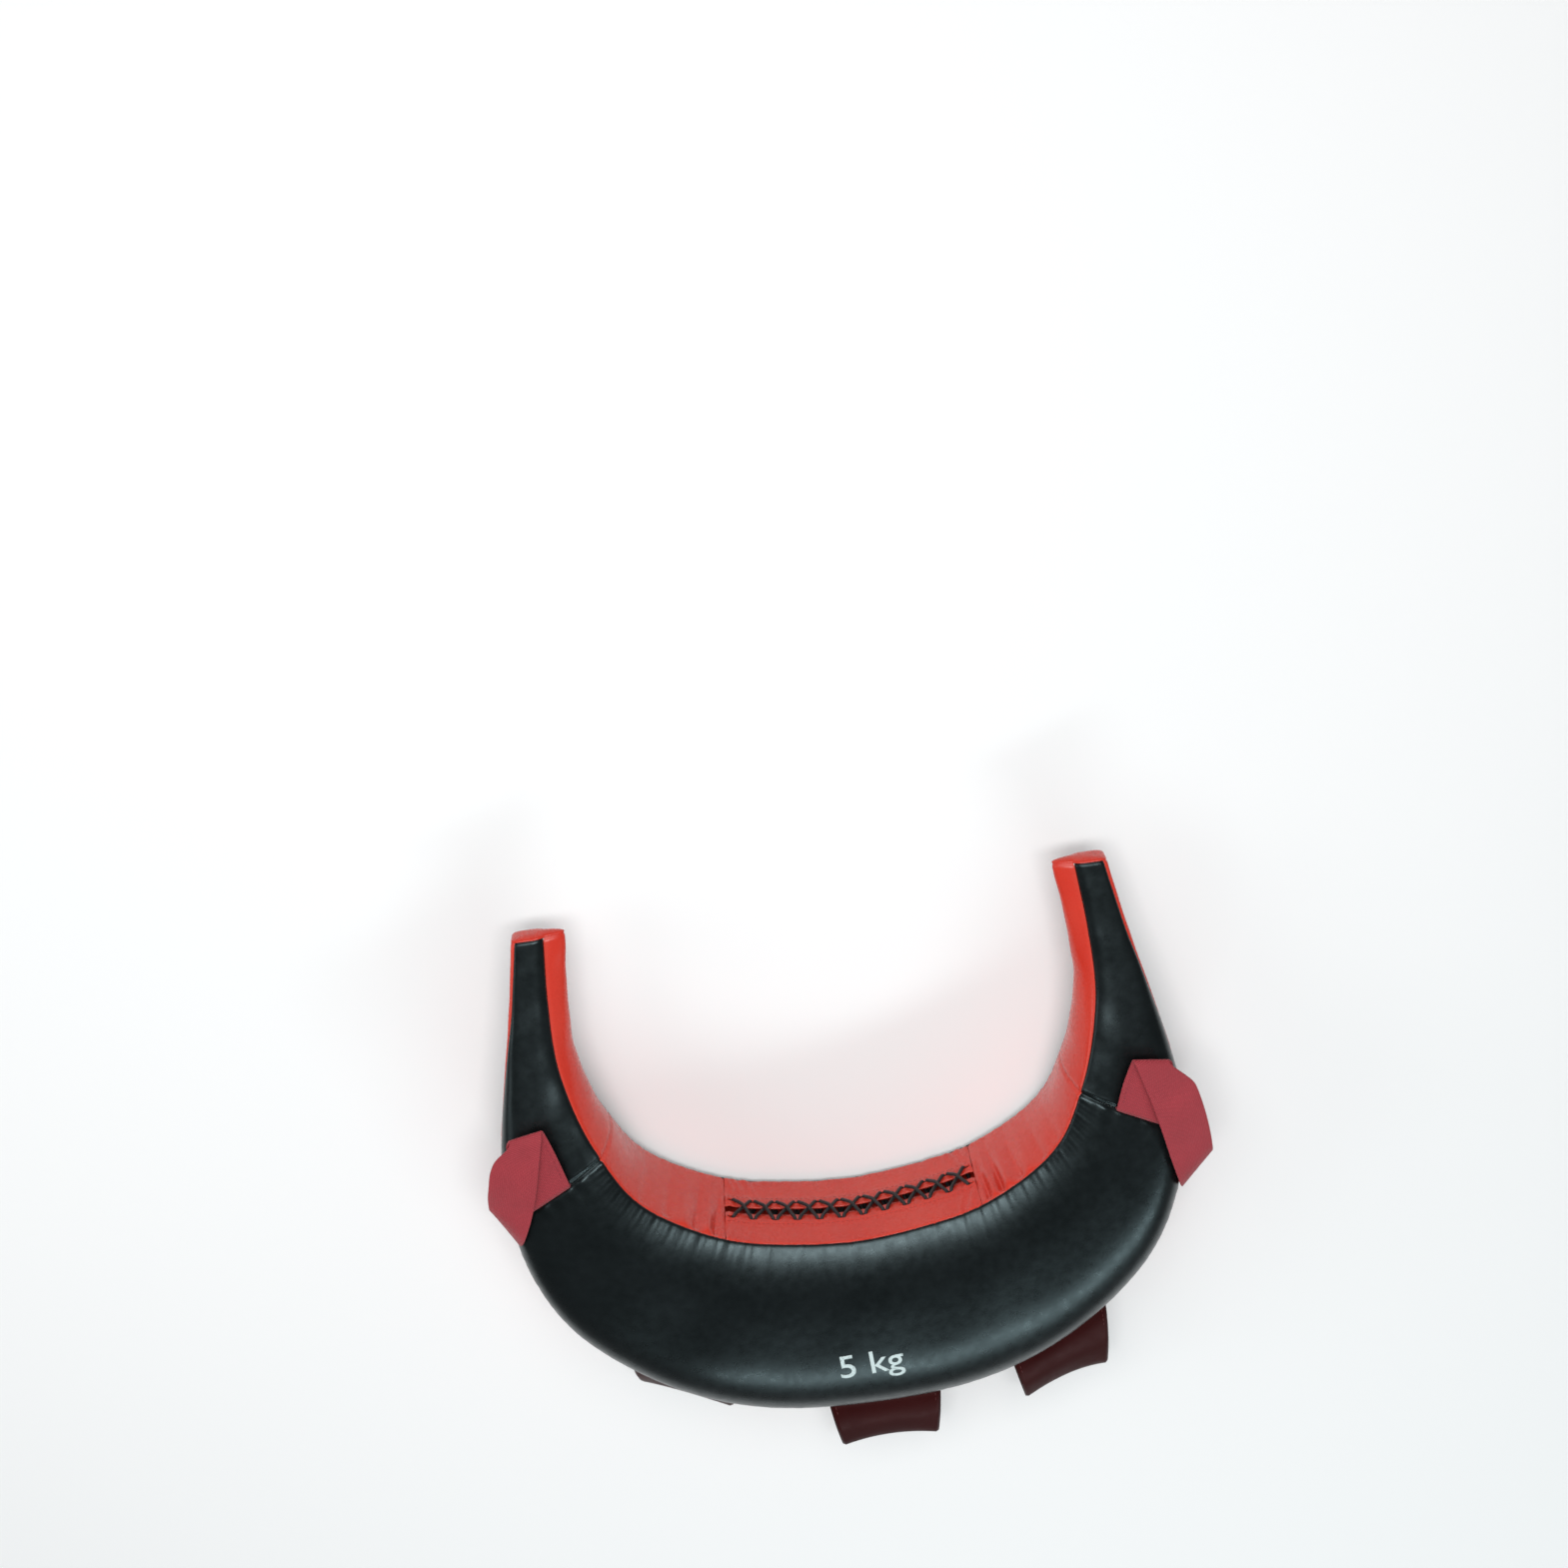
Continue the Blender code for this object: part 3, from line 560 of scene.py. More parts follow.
# Plackets
# Two red strips that meet along the middle of the inner gusset. Each has its free edge turned
# back as a hem, sewn down with red thread, with a row of oval lace holes through the fold.
hole_count = 12
hole_pitch = 0.0193
front_row, back_row = 0.0155, 0.012
front_hem_edge, back_hem_edge = 0.0070, 0.004
hem_depth = 0.0165
hem_step, hem_step_reach = 0.0007, 0.0005
hem_line_inset, hem_line_depth, hem_line_reach = 0.0012, 0.0006, 0.0008
free_edge_depth, free_edge_reach = 0.0006, 0.0016
hole_half_length = 0.0036
hole_half_height = 0.0019
hole_snap = 0.11
rim_height, rim_ring, rim_spread = 0.0005, 1.25, 0.35
hem_wear, hem_wear_reach, rim_wear_ring, rim_wear_spread = 0.4, 0.0015, 1.1, 0.2
placket_waves = ((0.031, 0), (0.019, 2), (0.047, 1))
placket_wave, placket_wave_lean, placket_wave_reach = 0.0006, 0.2, 0.014
wrinkle_waves = ((0.014, 0), (0.0092, 2))
wrinkle_depth, wrinkle_lean, wrinkle_reach, wrinkle_width = 0.0018, 0.3, 0.018, 0.022
placket_columns, placket_crowding = 380, 1.1
plain_rows, hem_rows, plain_share = 25, 33, 0.74
middle_row = 40
lace = 0.003
lace_slack = 0.0004
stitch_length = 0.0030
stitch_gap = 0.0013
stitch_rise_share = 0.25
stitch_sides, stitch_rings = 6, 5
unsewn_columns = 6
thread = 0.0004


def thread_finish(name, dark, light):
    """Twisted sewing thread, dark between its turns."""
    material, tree = new_material(name)
    paint(tree, mixed(tree, texture(tree, "TexNoise", 900)["Fac"], dark, light), 0.6)
    return material


red_thread = thread_finish("red_thread", (0.30, 0.020, 0.016), (0.55, 0.060, 0.045))


def point_at(place, run, points):
    """The point at a place along a run of points."""
    return np.array([np.interp(place, run, points[:, axis]) for axis in range(3)])


def stitches(name, path, normals, finish, body):
    """A row of thread stitches that dip into the sheet at both ends, along a path on its face."""
    run = lengths(path[:, None], 0)[:, 0]
    bpy.ops.mesh.primitive_uv_sphere_add(segments=stitch_sides, ring_count=stitch_rings, radius=1)
    piece = bpy.context.object
    piece.name = piece.data.name = name
    bead = np.array([corner.co for corner in piece.data.vertices])
    middles = np.arange(stitch_length / 2, run[-1] - stitch_length / 2, stitch_length + stitch_gap)
    bpy.ops.object.mode_set(mode="EDIT")
    bpy.ops.mesh.select_all(action="SELECT")
    for _ in middles[1:]:
        bpy.ops.mesh.duplicate()
    bpy.ops.object.mode_set(mode="OBJECT")
    shape = []
    for middle in middles:
        behind, here, ahead = (point_at(middle + step * stitch_length / 2, run, path) for step in (-1, 0, 1))
        up = unit(point_at(middle, run, normals))
        forward = unit(ahead - behind)
        shape.append(here + bead[:, 2:] * forward * stitch_length / 2
                     + bead[:, :1] * np.cross(up, forward) * thread
                     + (bead[:, 1:2] + stitch_rise_share) * up * thread)
    piece.data.vertices.foreach_set("co", np.concatenate(shape).ravel())
    piece.data.update()
    bpy.ops.object.shade_smooth()
    piece.data.materials.append(finish)
    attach(piece, body)
    return piece


hole_places = (np.arange(hole_count) - (hole_count - 1) / 2) * hole_pitch
placket_end = placket_station - seam_step


def placket(name, side, row_offset, hem_edge, cad_node):
    """The front (side 1) or back placket, with its hem, lace holes and hem stitches."""
    cut = cuts_at(-placket_end + 2 * placket_end * crowded(placket_columns, placket_crowding))
    centre = placed(cut, 0, 0)
    seam_height = cut.gusset - inner_roll
    height = side * (hem_edge + (seam_height - hem_edge) * np.linspace(1, 0, line_samples)[None])
    rows = np.concatenate([plain_share * crowded(plain_rows, station_crowding),
                           np.linspace(plain_share, 1, hem_rows)[1:]])
    points = placed(cut, *sampled((inner_side(cut, height, seam_height), height), rows))
    across = lengths(points, 1)
    hem = across[:, -1:] - across
    along = lengths(points, 0)[:, middle_row:middle_row + 1]
    end = np.minimum(along, along[-1] - along)
    # Each hole: the grid's nearest corners move onto its oval edge, and those inside it go
    from_middle = along - along[-1] / 2
    nearest = hole_places[np.argmin(abs(from_middle - hole_places), 1)][:, None]
    from_hole = (from_middle - nearest) / hole_half_length
    from_row = (hem - row_offset + hem_edge) / hole_half_height
    ring = np.hypot(from_hole, from_row)
    moved = np.where(abs(ring - 1) < hole_snap, 1 / ring, 1) - 1
    forward, down = unit(np.gradient(points, axis=0)), unit(np.gradient(points, axis=1))
    points = points + (moved * from_hole * hole_half_length)[..., None] * forward \
        - (moved * from_row * hole_half_height)[..., None] * down
    amount = hem_step / (1 + np.exp((hem - hem_depth) / hem_step_reach))
    amount -= hem_line_depth * bell(hem - hem_depth + hem_line_inset, hem_line_reach)
    amount -= free_edge_depth * bell(hem, free_edge_reach)
    amount -= strip_tuck * bell(end, strip_tuck_reach)
    amount += rim_height * bell(ring - rim_ring, rim_spread)
    amount += placket_wave * ripple(along + placket_wave_lean * across, placket_waves) \
        * np.exp(-across / placket_wave_reach)
    amount += wrinkle_depth * ripple(along - wrinkle_lean * across, wrinkle_waves) \
        * np.exp(-end / wrinkle_reach) * np.exp(-across / wrinkle_width)
    normal = outward(points, centre)
    points = tucked(points + amount[..., None] * normal, centre, 0, across)
    wear_and_highlight = strip_wear(along, across, end) + hem_wear * (np.exp(-hem / hem_wear_reach)
                                                          + bell(ring - rim_wear_ring, rim_wear_spread))
    piece = leather_sheet(name, points, centre, gusset_thickness, red_leather, np.clip(wear_and_highlight, 0, 1),
                          ring < 1 - hole_snap)
    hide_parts(cad_node)
    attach(piece, "belly")
    row = int(np.argmin(abs(hem[placket_columns // 2] - hem_depth + hem_line_inset)))
    sewn_columns = slice(unsewn_columns, -unsewn_columns)
    sewn = stitches(name + "_hem_stitches", points[sewn_columns, row], normal[sewn_columns, row], red_thread,
                    "belly")


placket("front_placket_skin", 1, front_row, front_hem_edge, "front_placket")
placket("back_placket_skin", -1, back_row, back_hem_edge, "back_placket")

# Tongue
# A plain red flap behind the lacing. It keeps the wadding from pressing out between the plackets.
tongue_depth = 0.0103
tongue_sheet = 0.0018
tongue_half_height = 0.0197
tongue_columns, tongue_rows = 120, 20

tongue_cuts = cuts_at(np.linspace(-placket_end, placket_end, tongue_columns))
tongue_height = np.linspace(tongue_half_height, -tongue_half_height, tongue_rows)[None] + 0 * tongue_cuts.half
tongue_across = tongue_depth + inner_side(tongue_cuts, tongue_height, tongue_cuts.gusset - tongue_depth)
tongue = leather_sheet("tongue_flap", placed(tongue_cuts, tongue_across, tongue_height),
                       placed(tongue_cuts, 0, 0), tongue_sheet, red_leather)
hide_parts("lacing_tongue")
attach(tongue, "belly")

# Lace
# One black braided cord of 3 mm. It runs along the closure and back, and crosses itself between
# each pair of holes. Its ends are drawn inside at one end.
first_run_depth = 0.003 + lace_slack + lace / 2
second_run_depth = first_run_depth + lace + 2 * lace_slack
pass_offset = lace / 2 + lace_slack / 2
lace_sides = 12
lace_points_a_step = 4
limb_shares = (0.02, 0.12, 0.36, 0.5, 0.64, 0.88, 0.98)
limb_rise_share = 0.75
closure_samples = 1201
weld_gap = 0.00001


def crossed_stripes(tree, turn, scale, operation):
    """Two sets of stripes along the UV map, turned opposite ways, like strands that cross."""
    stripes = []
    for angle in (turn, -turn):
        place = node(tree, "TexCoord", {}).outputs["UV"]
        turned = node(tree, "Mapping", {"Vector": place, "Rotation": (0, 0, angle)}).outputs[0]
        stripes.append(node(tree, "TexWave", {"Vector": turned, "Scale": scale}).outputs["Fac"])
    return joined(tree, operation, *stripes)


lace_black, lace_tree = new_material("black_lace")
lace_braid = crossed_stripes(lace_tree, 0.78, 220, "MAXIMUM")
paint(lace_tree, mixed(lace_tree, lace_braid, (0.004, 0.004, 0.004), (0.020, 0.021, 0.022)), 0.62,
      Normal=bump(lace_tree, lace_braid, 0.7, 0.0004))


def weld():
    """Opens the active piece for editing, all selected, with its doubled corners merged."""
    bpy.ops.object.mode_set(mode="EDIT")
    bpy.ops.mesh.select_all(action="SELECT")
    bpy.ops.mesh.remove_doubles(threshold=weld_gap)


def closed_sweep(name, rings, finish):
    """A closed body through rings of points, whose first and last points meet."""
    piece = leather_sheet(name, rings, rings.mean(1, keepdims=True), 0, finish)
    weld()
    bpy.ops.mesh.select_all(action="DESELECT")
    bpy.ops.mesh.select_non_manifold(extend=False)
    bpy.ops.mesh.fill_holes(sides=0)
    bpy.ops.mesh.select_all(action="SELECT")
    bpy.ops.mesh.normals_make_consistent(inside=False)
    bpy.ops.object.mode_set(mode="OBJECT")
    return piece


def eased(route, steps):
    """A smooth curve through the points of a route, with a number of steps from each to the next."""
    route = np.array(route)
    padded = np.concatenate([2 * route[:1] - route[1:2], route, 2 * route[-1:] - route[-2:-1]])
    found = []
    for a, b, c, d in zip(padded, padded[1:], padded[2:], padded[3:]):
        for part in np.arange(steps) / steps:
            found.append(b + part * ((c - a) / 2 + part * ((2 * a - 5 * b + 4 * c - d) / 2
                                                          + part * (3 * (b - c) + d - a) / 2)))
    return np.array(found + [route[-1]])


def lace_route():
    """The lace's route: each limb of a cross leaves its holes at the skin and rises to its middle."""
    rest = -lace / 2 - lace_slack - hem_step
    places = []
    for holes, middle, depth, first_depth in (
            (range(hole_count), rest - lace, second_run_depth, first_run_depth),
            (range(hole_count)[::-1], rest, first_run_depth, second_run_depth)):
        levels = (rest + lace / 2, rest, rest + limb_rise_share * (middle - rest), middle)
        for hole, following in zip(holes, holes[1:]):
            offset = (following - hole) * pass_offset
            start, end = hole_places[hole] + offset, hole_places[following] - offset
            places.append((start, -back_row, first_depth if hole == holes[0] else depth))
            places += [(start + share * (end - start), share * (front_row + back_row) - back_row, level)
                       for share, level in zip(limb_shares, levels + levels[2::-1])]
            places.append((end, front_row, depth))

    # Each place is a distance along the closure from its middle, a height, and a depth in the skin
    stations = np.linspace(-3, 3, closure_samples)
    cut = cuts_at(stations)
    run = lengths(placed(cut, -cut.seam_in - cut.inner_bulge, 0), 0)[:, 0]
    distance, height, depth = np.array(places).T[..., None]
    cut = cuts_at(np.interp(distance[:, 0], run - run[closure_samples // 2], stations))
    return placed(cut, inner_side(cut, height, cut.gusset - inner_roll) + depth, height)[:, 0]


# The cord's round sections keep their turn from one to the next
route = eased(lace_route(), lace_points_a_step)
ahead = unit(np.gradient(route, axis=0))
side = np.cross(ahead[0], (0, 0, 1))
turn = np.linspace(0, 2 * np.pi, lace_sides + 1)[:, None]
rings = []
for point, forward in zip(route, ahead):
    side = unit(side - forward * (side @ forward))
    rings.append(point + lace / 2 * (np.cos(turn) * side + np.sin(turn) * np.cross(forward, side)))
lace_cord = closed_sweep("lacing", np.array(rings), lace_black)
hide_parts("closure_lace")
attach(lace_cord, "belly")

# Horns
# Each horn has a black panel at the front and back, and red strips on its inner and outer sides.
# They are sewn to the belly in the cross seam.
tip_station = last_station - seam_step
horn_start = shoulder_station + seam_step
horn_columns, horn_panel_rows, horn_strip_rows = 150, 40, 28
root_tuck, root_tuck_reach = 0.0014, 0.0028
tip_tuck, tip_tuck_reach = 0.0010, 0.0014
# The ridge beside the root is raised, and its crest is also coloured paler as a painted highlight
ridge_place, ridge_height, ridge_reach, ridge_highlight_reach = 0.0040, 0.0002, 0.0016, 0.0012
root_waves = ((0.023, 0), (0.014, 2))
root_wave, root_wave_lean, root_wave_reach = 0.0007, 0.2, 0.02
horn_waves = ((0.075, 1), (0.041, 2))
horn_wave, horn_wave_lean = 0.0003, 0.5
strip_waves = ((0.035, 1), (0.062, 2))
strip_wave = 0.0004


def horn_relief(along, across, width, end):
    """Puckers at the root, a seam ridge beside it, and slight waves along the panel."""
    root = bell(along, root_tuck_reach)
    amount = -root_tuck * root - tip_tuck * bell(along[-1] - along, tip_tuck_reach)
    amount = amount + ridge_height * bell(along - ridge_place, ridge_reach)
    amount = amount + root_wave * ripple(across + root_wave_lean * along, root_waves) \
        * np.exp(-along / root_wave_reach) * (1 - root)
    return amount + horn_wave * ripple(along + horn_wave_lean * across, horn_waves)


def horn_wear_and_ridge_highlight(along, edge, end):
    """Worn paler along the seams, and painted paler along the ridge at the root as a painted highlight of the
    light it catches.
    """
    return 0.6 * np.exp(-edge / 0.0018) + 0.25 * bell(along - ridge_place, ridge_highlight_reach)


def strip_relief(along, across, width):
    """A nearly smooth strip, with slight waves along it."""
    return strip_wave * ripple(along, strip_waves) * np.sin(np.pi * across / width)


for side_name, side in sides:
    stations = side * (horn_start + (tip_station - horn_start) * crowded(horn_columns, station_crowding))
    pieces = []
    for face_name, face in (("front", 1), ("back", -1)):
        piece = skin(f"{side_name}_horn_{face_name}_skin", stations, lambda cut: panel_line(cut, face),
                     horn_panel_rows, horn_relief, horn_wear_and_ridge_highlight, black_leather, panel_thickness)
        pieces.append((piece, f"{side_name}_horn_{face_name}_panel"))
    for face_name, line in (("inner", inner_line), ("outer", outer_line)):
        piece = strip(f"{side_name}_horn_{face_name}_skin", stations, line, horn_strip_rows, strip_relief)
        pieces.append((piece, f"{side_name}_horn_{face_name}_strip"))
    for piece, cad_node in pieces:
        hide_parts(cad_node)
        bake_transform(piece)

# Tip caps
# The inner strip's end folds over each tip and is sewn down on the outer side, as a small red pad.
cap_rise = 0.0034
cap_steps = 10
cap_power = 2.2
cap_fold_depth, cap_fold_place, cap_fold_reach = 0.0012, 0.002, 0.0016
cap_panel_points, cap_side_points = 26, 22

for side_name, side in sides:
    cut = cuts_at(np.array([side * last_station]))
    front = np.array(sampled(panel_line(cut, 1), crowded(cap_panel_points)))[:, 0]
    outer, inner = (np.array(sampled(line(cut), crowded(cap_side_points)))[:, 0]
                    for line in (outer_line, inner_line))
    back = front * ((1,), (-1,))
    outline = np.concatenate([front, outer[:, 1:], back[:, -2::-1], inner[:, -2::-1]], 1)
    middle = (outline[:1].min() + outline[:1].max()) / 2
    rings = []
    for part in np.linspace(0, 1, cap_steps):
        shrink = (1 - part ** cap_power) ** (1 / cap_power)
        section = placed(cut, middle + (outline[:1] - middle) * shrink, outline[1:] * shrink)[0]
        fold = cap_fold_depth * bell(outline[0] + cap_fold_place, cap_fold_reach) * (outline[1] > 0)
        section[:, 1] += cap_rise * part - fold * part * (1 - part)
        rings.append(section)
    cap = closed_sweep(side_name + "_tip_pad", np.array(rings), red_leather)
    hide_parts(side_name + "_horn_tip_cap")
    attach(cap, side_name + "_horn")

# Hand loops
# A strap of crimson nylon webbing, 40 mm wide. Both ends are sewn into the cross seam, and the
# strap folds over itself and hangs round the outer edge of the shoulder.
loop_width = 0.040
webbing = 0.0021
selvedge = 0.0003
selvedge_share = 0.12
strap_sides, wide_power, thick_power = 48, 0.35, 0.45
loop_size = 0.052
loop_lift = 0.012
loop_root_outset = 0.0055
loop_level = 0.0557
root_level = 0.0520
loop_steps, tab_steps = 8, 4
loop_stitch_share = 0.8
first_ply = slice(3, 20)
# The sewn end: distance along it from the seam, and how deep it dives into the seam
tab_places = ((0.0118, 0.0002), (0.006, 0), (0.0015, 0.0002), (0.0004, 0.002), (0.0002, 0.005))
# Front root to back root, for both loops: shares of the root's height and of the lift
level_shares = (
    (0.965, 0), (1, 0.25), (1, 0.45), (1, 0.72), (1, 1), (1, 0.97), (1, 0.95), (1, 0.80), (1, 0.5), (1, 0.1),
    (0.80, 0), (0.42, 0), (0, 0), (-0.42, 0), (-0.80, 0), (-1.01, 0), (-1.03, 0), (-1.03, 0), (-1, 0))
# For each loop: shares of the loop size outward and up the horn, the turn of the webbing in degrees,
# and how far its outer edge is drawn in, as a share of its width
right_loop_shares = (
    (0, 0, -28, 0), (0.14, 0.52, -20, 0), (0.30, 0.96, -10, 0.10), (0.34, 1.08, -8, 0.24),
    (0.38, 1.00, -6, 0.24), (0.50, 0.66, 4, 0.03), (0.57, 0.43, 9, 0), (0.69, -0.08, 20, 0),
    (0.78, -0.58, 32, -0.02), (0.85, -1.00, 44, -0.05), (0.89, -1.20, 50, -0.08), (0.91, -1.27, 52, -0.08),
    (0.91, -1.29, 52, -0.08), (0.91, -1.27, 52, -0.06), (0.87, -1.20, 51, -0.03), (0.76, -1.00, 52, 0),
    (0.54, -0.58, 56, 0), (0.27, -0.18, 60, 0), (0, 0, 61, 0))
left_loop_shares = (
    (0, 0, -28, 0), (0.12, 0.62, -22, 0), (0.25, 1.14, -14, 0.12), (0.29, 1.28, -10, 0.28),
    (0.32, 1.18, -6, 0.28), (0.39, 0.96, 0, 0.06), (0.46, 0.72, 7, 0), (0.56, 0.36, 20, 0),
    (0.66, 0, 38, -0.03), (0.76, -0.34, 56, -0.08), (0.83, -0.54, 65, -0.15), (0.87, -0.62, 68, -0.17),
    (0.88, -0.64, 68, -0.17), (0.87, -0.63, 67, -0.12), (0.83, -0.60, 64, -0.05), (0.70, -0.50, 62, 0),
    (0.46, -0.31, 60, 0), (0.22, -0.12, 61, 0), (0, 0, 61, 0))

webbing_red, web_tree = new_material("crimson_webbing")
web_weave = crossed_stripes(web_tree, 0.46, 230, "MULTIPLY")
web_tone = mixed(web_tree, web_weave, (0.27, 0.014, 0.024), (0.56, 0.042, 0.062))
web_fade = mixed(web_tree, texture(web_tree, "TexNoise", 45, Detail=4)["Fac"], (0.80,) * 3, (1.12,) * 3)
web_mix = node(web_tree, "Mix", {"Factor": 1, 6: web_tone, 7: web_fade}, data_type="RGBA",
               blend_type="MULTIPLY").outputs[2]
paint(web_tree, web_mix, 0.68, Normal=bump(web_tree, web_weave, 0.6, 0.0004), Sheen_Weight=0.1)
web_thread = thread_finish("web_thread", (0.22, 0.016, 0.028), (0.42, 0.050, 0.075))


def strap(name, centres, halves):
    """Webbing along a line of centres and half widths, with rounded, slightly thicker selvedges."""
    turn = np.linspace(0, 2 * np.pi, strap_sides + 1)
    wide = np.sign(np.cos(turn)) * abs(np.cos(turn)) ** wide_power
    thick = np.sign(np.sin(turn)) * abs(np.sin(turn)) ** thick_power
    thick = thick * (webbing / 2 + selvedge * bell(1 - abs(wide), selvedge_share))
    face = unit(np.cross(halves, np.gradient(centres, axis=0)))
    rings = centres[:, None] + halves[:, None] * wide[None, :, None] + face[:, None] * thick[None, :, None]
    return closed_sweep(name, rings, webbing_red), face


for (side_name, side), shares in zip(sides, (left_loop_shares, right_loop_shares)):
    root = placed(cuts_at(np.array([side * shoulder_station])), loop_root_outset, 0)[0, 0]
    centres, halves = [], []
    for (out, rise, turn, drawn_in), (root_share, lift_share) in zip(shares, level_shares):
        turn = math.radians(turn)
        half = np.array((side * math.cos(turn), math.sin(turn), 0)) * loop_width / 2
        centres.append(root + (side * out * loop_size, rise * loop_size,
                               root_share * loop_level + lift_share * loop_lift) - half * drawn_in)
        halves.append(half * (1 - drawn_in))
    centres, halves = eased(centres, loop_steps), eased(halves, loop_steps)
    ply, face = strap(side_name + "_webbing_loop", centres, halves)
    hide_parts(side_name + "_hand_loop")
    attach(ply, side_name + "_loop")
    facing_up = face * np.sign(face[:, 2:] + 1e-9)
    for edge_name, shift in (("inner", -loop_stitch_share), ("outer", loop_stitch_share)):
        path = centres + halves * shift + facing_up * webbing / 2
        sewn = stitches(f"{side_name}_loop_stitches_{edge_name}", path[first_ply], facing_up[first_ply],
                        web_thread, side_name + "_loop")
    # The sewn end under the loop dives into the cross seam, at the front and the back
    for face_name, face_side, turn in (("front", 1, shares[0][2]), ("back", -1, shares[-1][2])):
        turn = math.radians(turn)
        along = np.array((-side * math.sin(turn), math.cos(turn), 0)) * face_side
        across = np.array((side * math.cos(turn), math.sin(turn), 0)) * loop_width / 2
        tab = eased([root + along * step + (0, 0, face_side * (root_level + webbing / 2 - drop))
                     for step, drop in tab_places], tab_steps)
        sewn_end, _ = strap(f"{side_name}_loop_end_{face_name}", tab, np.repeat(across[None], len(tab), 0))
        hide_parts(f"{side_name}_loop_root_{face_name}")
        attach(sewn_end, "belly")

# Grip bands
# Three strips of dark red leather, each folded into a flat, stiff loop and sewn by both ends along
# the middle of the outer gusset. Their colour is their own dark red, made darker still as painted
# shade from the belly above them. Their free edges are turned and stitched.
band_root_width, band_tip_width = 0.106, 0.088
band_reach, left_band_reach = 0.062, 0.054
band_swell, left_band_swell = 0.014, 0.010
band_hollow = 0.006
band_sheet = 0.0033
band_seat = 0.0026
band_turn_share = 0.45
band_rim_share = 0.035
band_outset = 0.008
side_band_place, centre_band_place = 0.168, 0.006
band_section_shares = ((0.03, 0.25), (0.14, 0.52), (0.34, 0.95), (0.60, 1), (0.84, 0.68), (0.97, 0.36))
band_columns, band_steps = 41, 6
outer_samples, along_step = 1601, 4
edge_column, sewn_rows = 2, slice(4, 21)

# Very dark red: the bands' own darker red with painted shade from the belly's bulge mixed in; the thread is
# darkened the same way
shaded_maroon_leather = leather("shaded_maroon_leather", (0.026, 0.0025, 0.0025), (0.045, 0.006, 0.006), 0.45, 0.05, 0.14,
                         (1, 0.60, 0.60))
shaded_maroon_thread = thread_finish("shaded_maroon_thread", (0.045, 0.006, 0.006), (0.12, 0.020, 0.020))
outer_cuts = cuts_at(np.linspace(-shoulder_station, shoulder_station, outer_samples))
outer_middle = placed(outer_cuts, outer_cuts.half + band_outset, 0)[:, 0]


def band(name, place_across, tilt, lean, reach_out=band_reach, swell_out=band_swell):
    """One folded band at a place across the bag, tilted about its root and leaning along the bag."""
    middle = point_at(place_across, outer_middle[:, 0], outer_middle)
    nearest = int(np.argmin(abs(outer_middle[:, 0] - place_across)))
    along = unit(outer_middle[nearest + along_step] - outer_middle[nearest - along_step])
    up = np.array((0, 0, 1.0))
    out = np.cross(along, up)
    slope = math.tan(math.radians(lean))
    turn = np.array(Matrix.Rotation(math.radians(-tilt), 3, Vector(along))).T
    place_along = (outer_middle - middle) @ along
    section = ((0, 0), *band_section_shares, (1, 0),
               *((reach, -swell) for reach, swell in band_section_shares[::-1]), (0, 0))
    grid = []
    for share in np.linspace(-1, 1, band_columns):
        drop = (point_at(share * band_root_width / 2, place_along, outer_middle) - middle) @ out
        tip = reach_out + band_hollow * share * share - band_seat
        tip -= share * band_tip_width / 2 * slope * band_turn_share
        line = []
        for reach, swell in section:
            half = (band_root_width + (band_tip_width - band_root_width) * reach) / 2
            line.append((share * half, drop + (tip - drop) * reach, swell_out * swell))
        x, n, z = eased(line, band_steps).T
        spot = along * (x + (n - drop) * slope)[:, None] + out * n[:, None] + up * z[:, None]
        grid.append(middle + out * band_seat + spot @ turn)
    grid = np.array(grid)
    normal = outward(grid, grid.mean(1, keepdims=True))
    past_rim = np.clip(abs(np.linspace(-1, 1, band_columns)) - 1 + band_rim_share, 0, 1)
    rim = np.sqrt(np.clip(1 - (past_rim / band_rim_share) ** 2, 0, 1))[:, None, None]
    over = grid + normal * band_sheet / 2 * rim
    under = grid - normal * band_sheet / 2 * rim
    rings = np.concatenate([over, under[-2::-1]]).transpose(1, 0, 2)
    piece = closed_sweep(name + "_grip", rings, shaded_maroon_leather)
    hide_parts(name + "_grip_band")
    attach(piece, name + "_band")
    for edge_name, column in (("left", edge_column), ("right", -1 - edge_column)):
        sewn = stitches(f"{name}_grip_{edge_name}_stitches", over[column, sewn_rows],
                        normal[column, sewn_rows], shaded_maroon_thread, name + "_band")


band("left", -side_band_place, -40, 20, left_band_reach, left_band_swell)
band("centre", centre_band_place, 0, 0)
band("right", side_band_place, -8, -26)

# Weight mark
# The bag's weight, screen printed on the front panel in one coat of pale grey ink.
mark_width = 0.056
mark_place = Vector((-0.0015, -0.030, 0))
mark_turn = math.radians(2.5)
mark_boldness = 0.006
mark_cut = 0.002
ink = 0.00025
ink_share = 0.8

ink_grey, ink_tree = new_material("pale_ink")
ink_worn = ranged(ink_tree, texture(ink_tree, "TexNoise", 420, Detail=4)["Fac"], (0.30, 0.42), 0, 1)
paint(ink_tree, mixed(ink_tree, ink_worn, (0.30, 0.36, 0.36), (0.60, 0.71, 0.71)), 0.5)

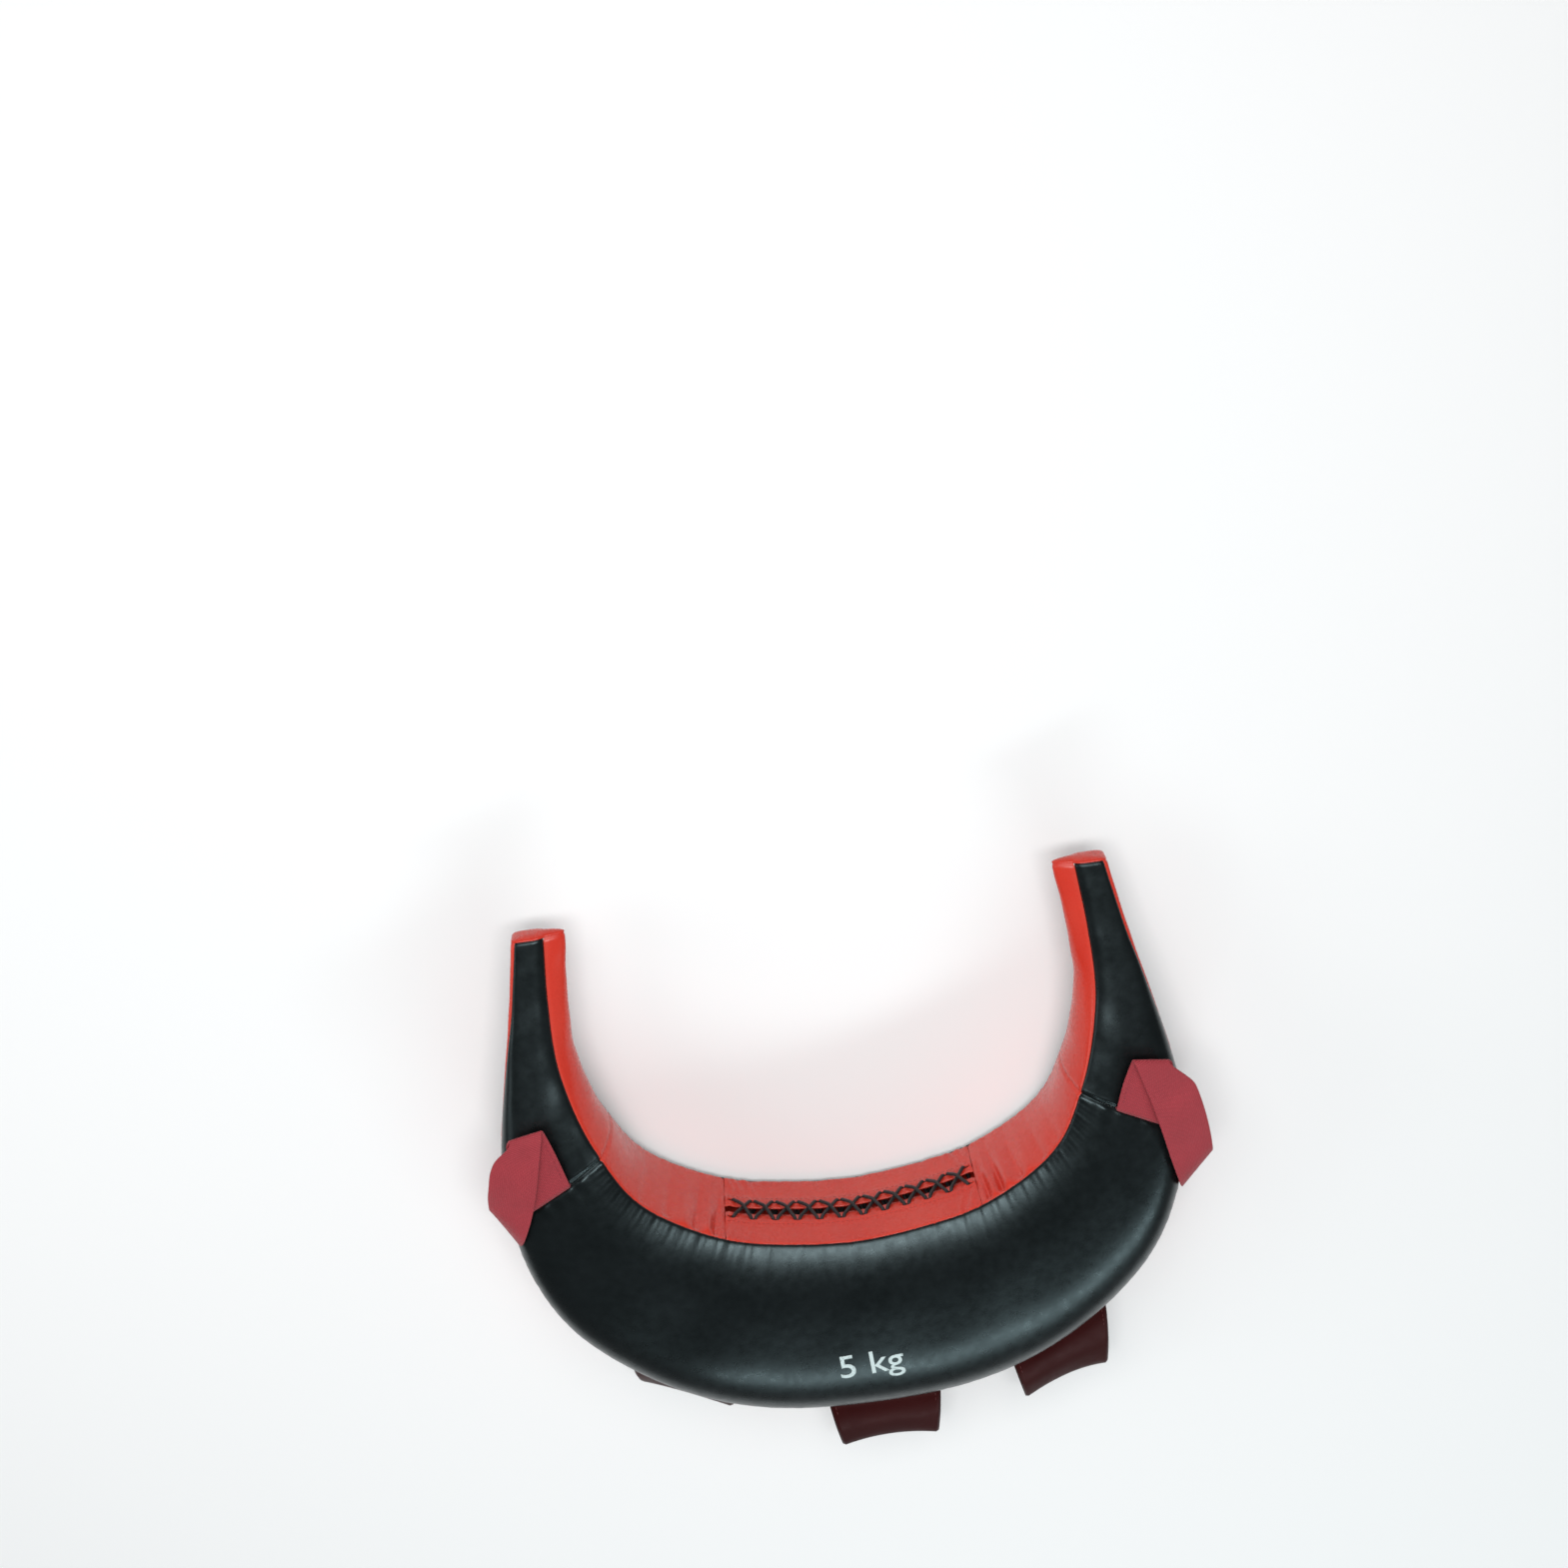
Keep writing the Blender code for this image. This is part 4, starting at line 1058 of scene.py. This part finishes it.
bpy.ops.object.text_add()
bpy.context.object.data.body = "5 kg"
bpy.context.object.data.offset = mark_boldness
bpy.ops.object.convert(target="MESH")
mark = bpy.context.object
mark.name = mark.data.name = "weight_mark"
letters = np.array([corner.co for corner in mark.data.vertices])
letters -= (letters.min(0) + letters.max(0)) / 2
letters *= mark_width / np.ptp(letters[:, 0])
mark.data.vertices.foreach_set("co", letters.ravel())
weld()
for axis, line in ((0, Vector((1, 0, 0))), (1, Vector((0, 1, 0)))):
    for place in np.arange(letters[:, axis].min() + mark_cut, letters[:, axis].max(), mark_cut):
        bpy.ops.mesh.select_all(action="SELECT")
        bpy.ops.mesh.bisect(plane_co=line * place, plane_no=line)
bpy.ops.object.mode_set(mode="OBJECT")
turning = Matrix.Rotation(mark_turn, 3, "Z")
for corner in mark.data.vertices:
    above = turning @ corner.co + mark_place + Vector((0, 0, 1))
    _, spot, facing, _ = front_panel.ray_cast(above, Vector((0, 0, -1)))
    corner.co = spot + facing * ink
mark.data.update()
thicken(mark, ink * ink_share)
mark.data.materials.clear()
mark.data.materials.append(ink_grey)
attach(mark, "belly")

# Filling
# Felt wadding lies against the skin, three sewn pouches hold the sand, and a firm wadded core fills
# each horn. None of it shows unless the closure is opened.
dark_share = 0.72


def cloth(name, colour, scale, depth):
    """Pale felt or plain cloth, with its fibres or threads as fine relief."""
    material, tree = new_material(name)
    fibres = texture(tree, "TexNoise", scale, Detail=6, Distortion=1.5)["Fac"]
    dark = [dark_share * share for share in colour]
    paint(tree, mixed(tree, fibres, dark, colour), 0.9, Normal=bump(tree, fibres, 0.6, depth))
    return material


felt = cloth("pale_felt", (0.66, 0.64, 0.60), 260, 0.0008)
pouch_cloth = cloth("pouch_cloth", (0.42, 0.36, 0.27), 700, 0.0004)
fillings = [("front_wadding", felt, 0.6), ("back_wadding", felt, 0.5)]
fillings += [(name + "_sand_pouch", pouch_cloth, 0.85) for name in ("left", "centre", "right")]
for side_name in ("left", "right"):
    fillings += [(side_name + "_neck_wadding", felt, 0.6), (side_name + "_horn_core", felt, 0.95)]
for cad_node, finish, fill in fillings:
    bpy.ops.object.select_all(action="DESELECT")
    piece = bpy.data.objects.new(cad_node + "_fill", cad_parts[cad_node].data.copy())
    bpy.context.scene.collection.objects.link(piece)
    bpy.context.view_layer.objects.active = piece
    piece.select_set(True)
    weld()
    bpy.ops.mesh.tris_convert_to_quads()
    bpy.ops.object.mode_set(mode="OBJECT")
    rounding = piece.modifiers.new("rounding", "SUBSURF")
    rounding.levels = rounding.render_levels = 2
    bpy.ops.object.modifier_apply(modifier=rounding.name)
    bpy.ops.object.shade_smooth()
    piece.data.materials.clear()
    piece.data.materials.append(finish)
    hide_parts(cad_node)
    side_name = cad_node.split("_")[0]
    if "neck" in cad_node:
        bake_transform(piece)
    else:
        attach(piece, side_name + "_horn" if "core" in cad_node else "belly")
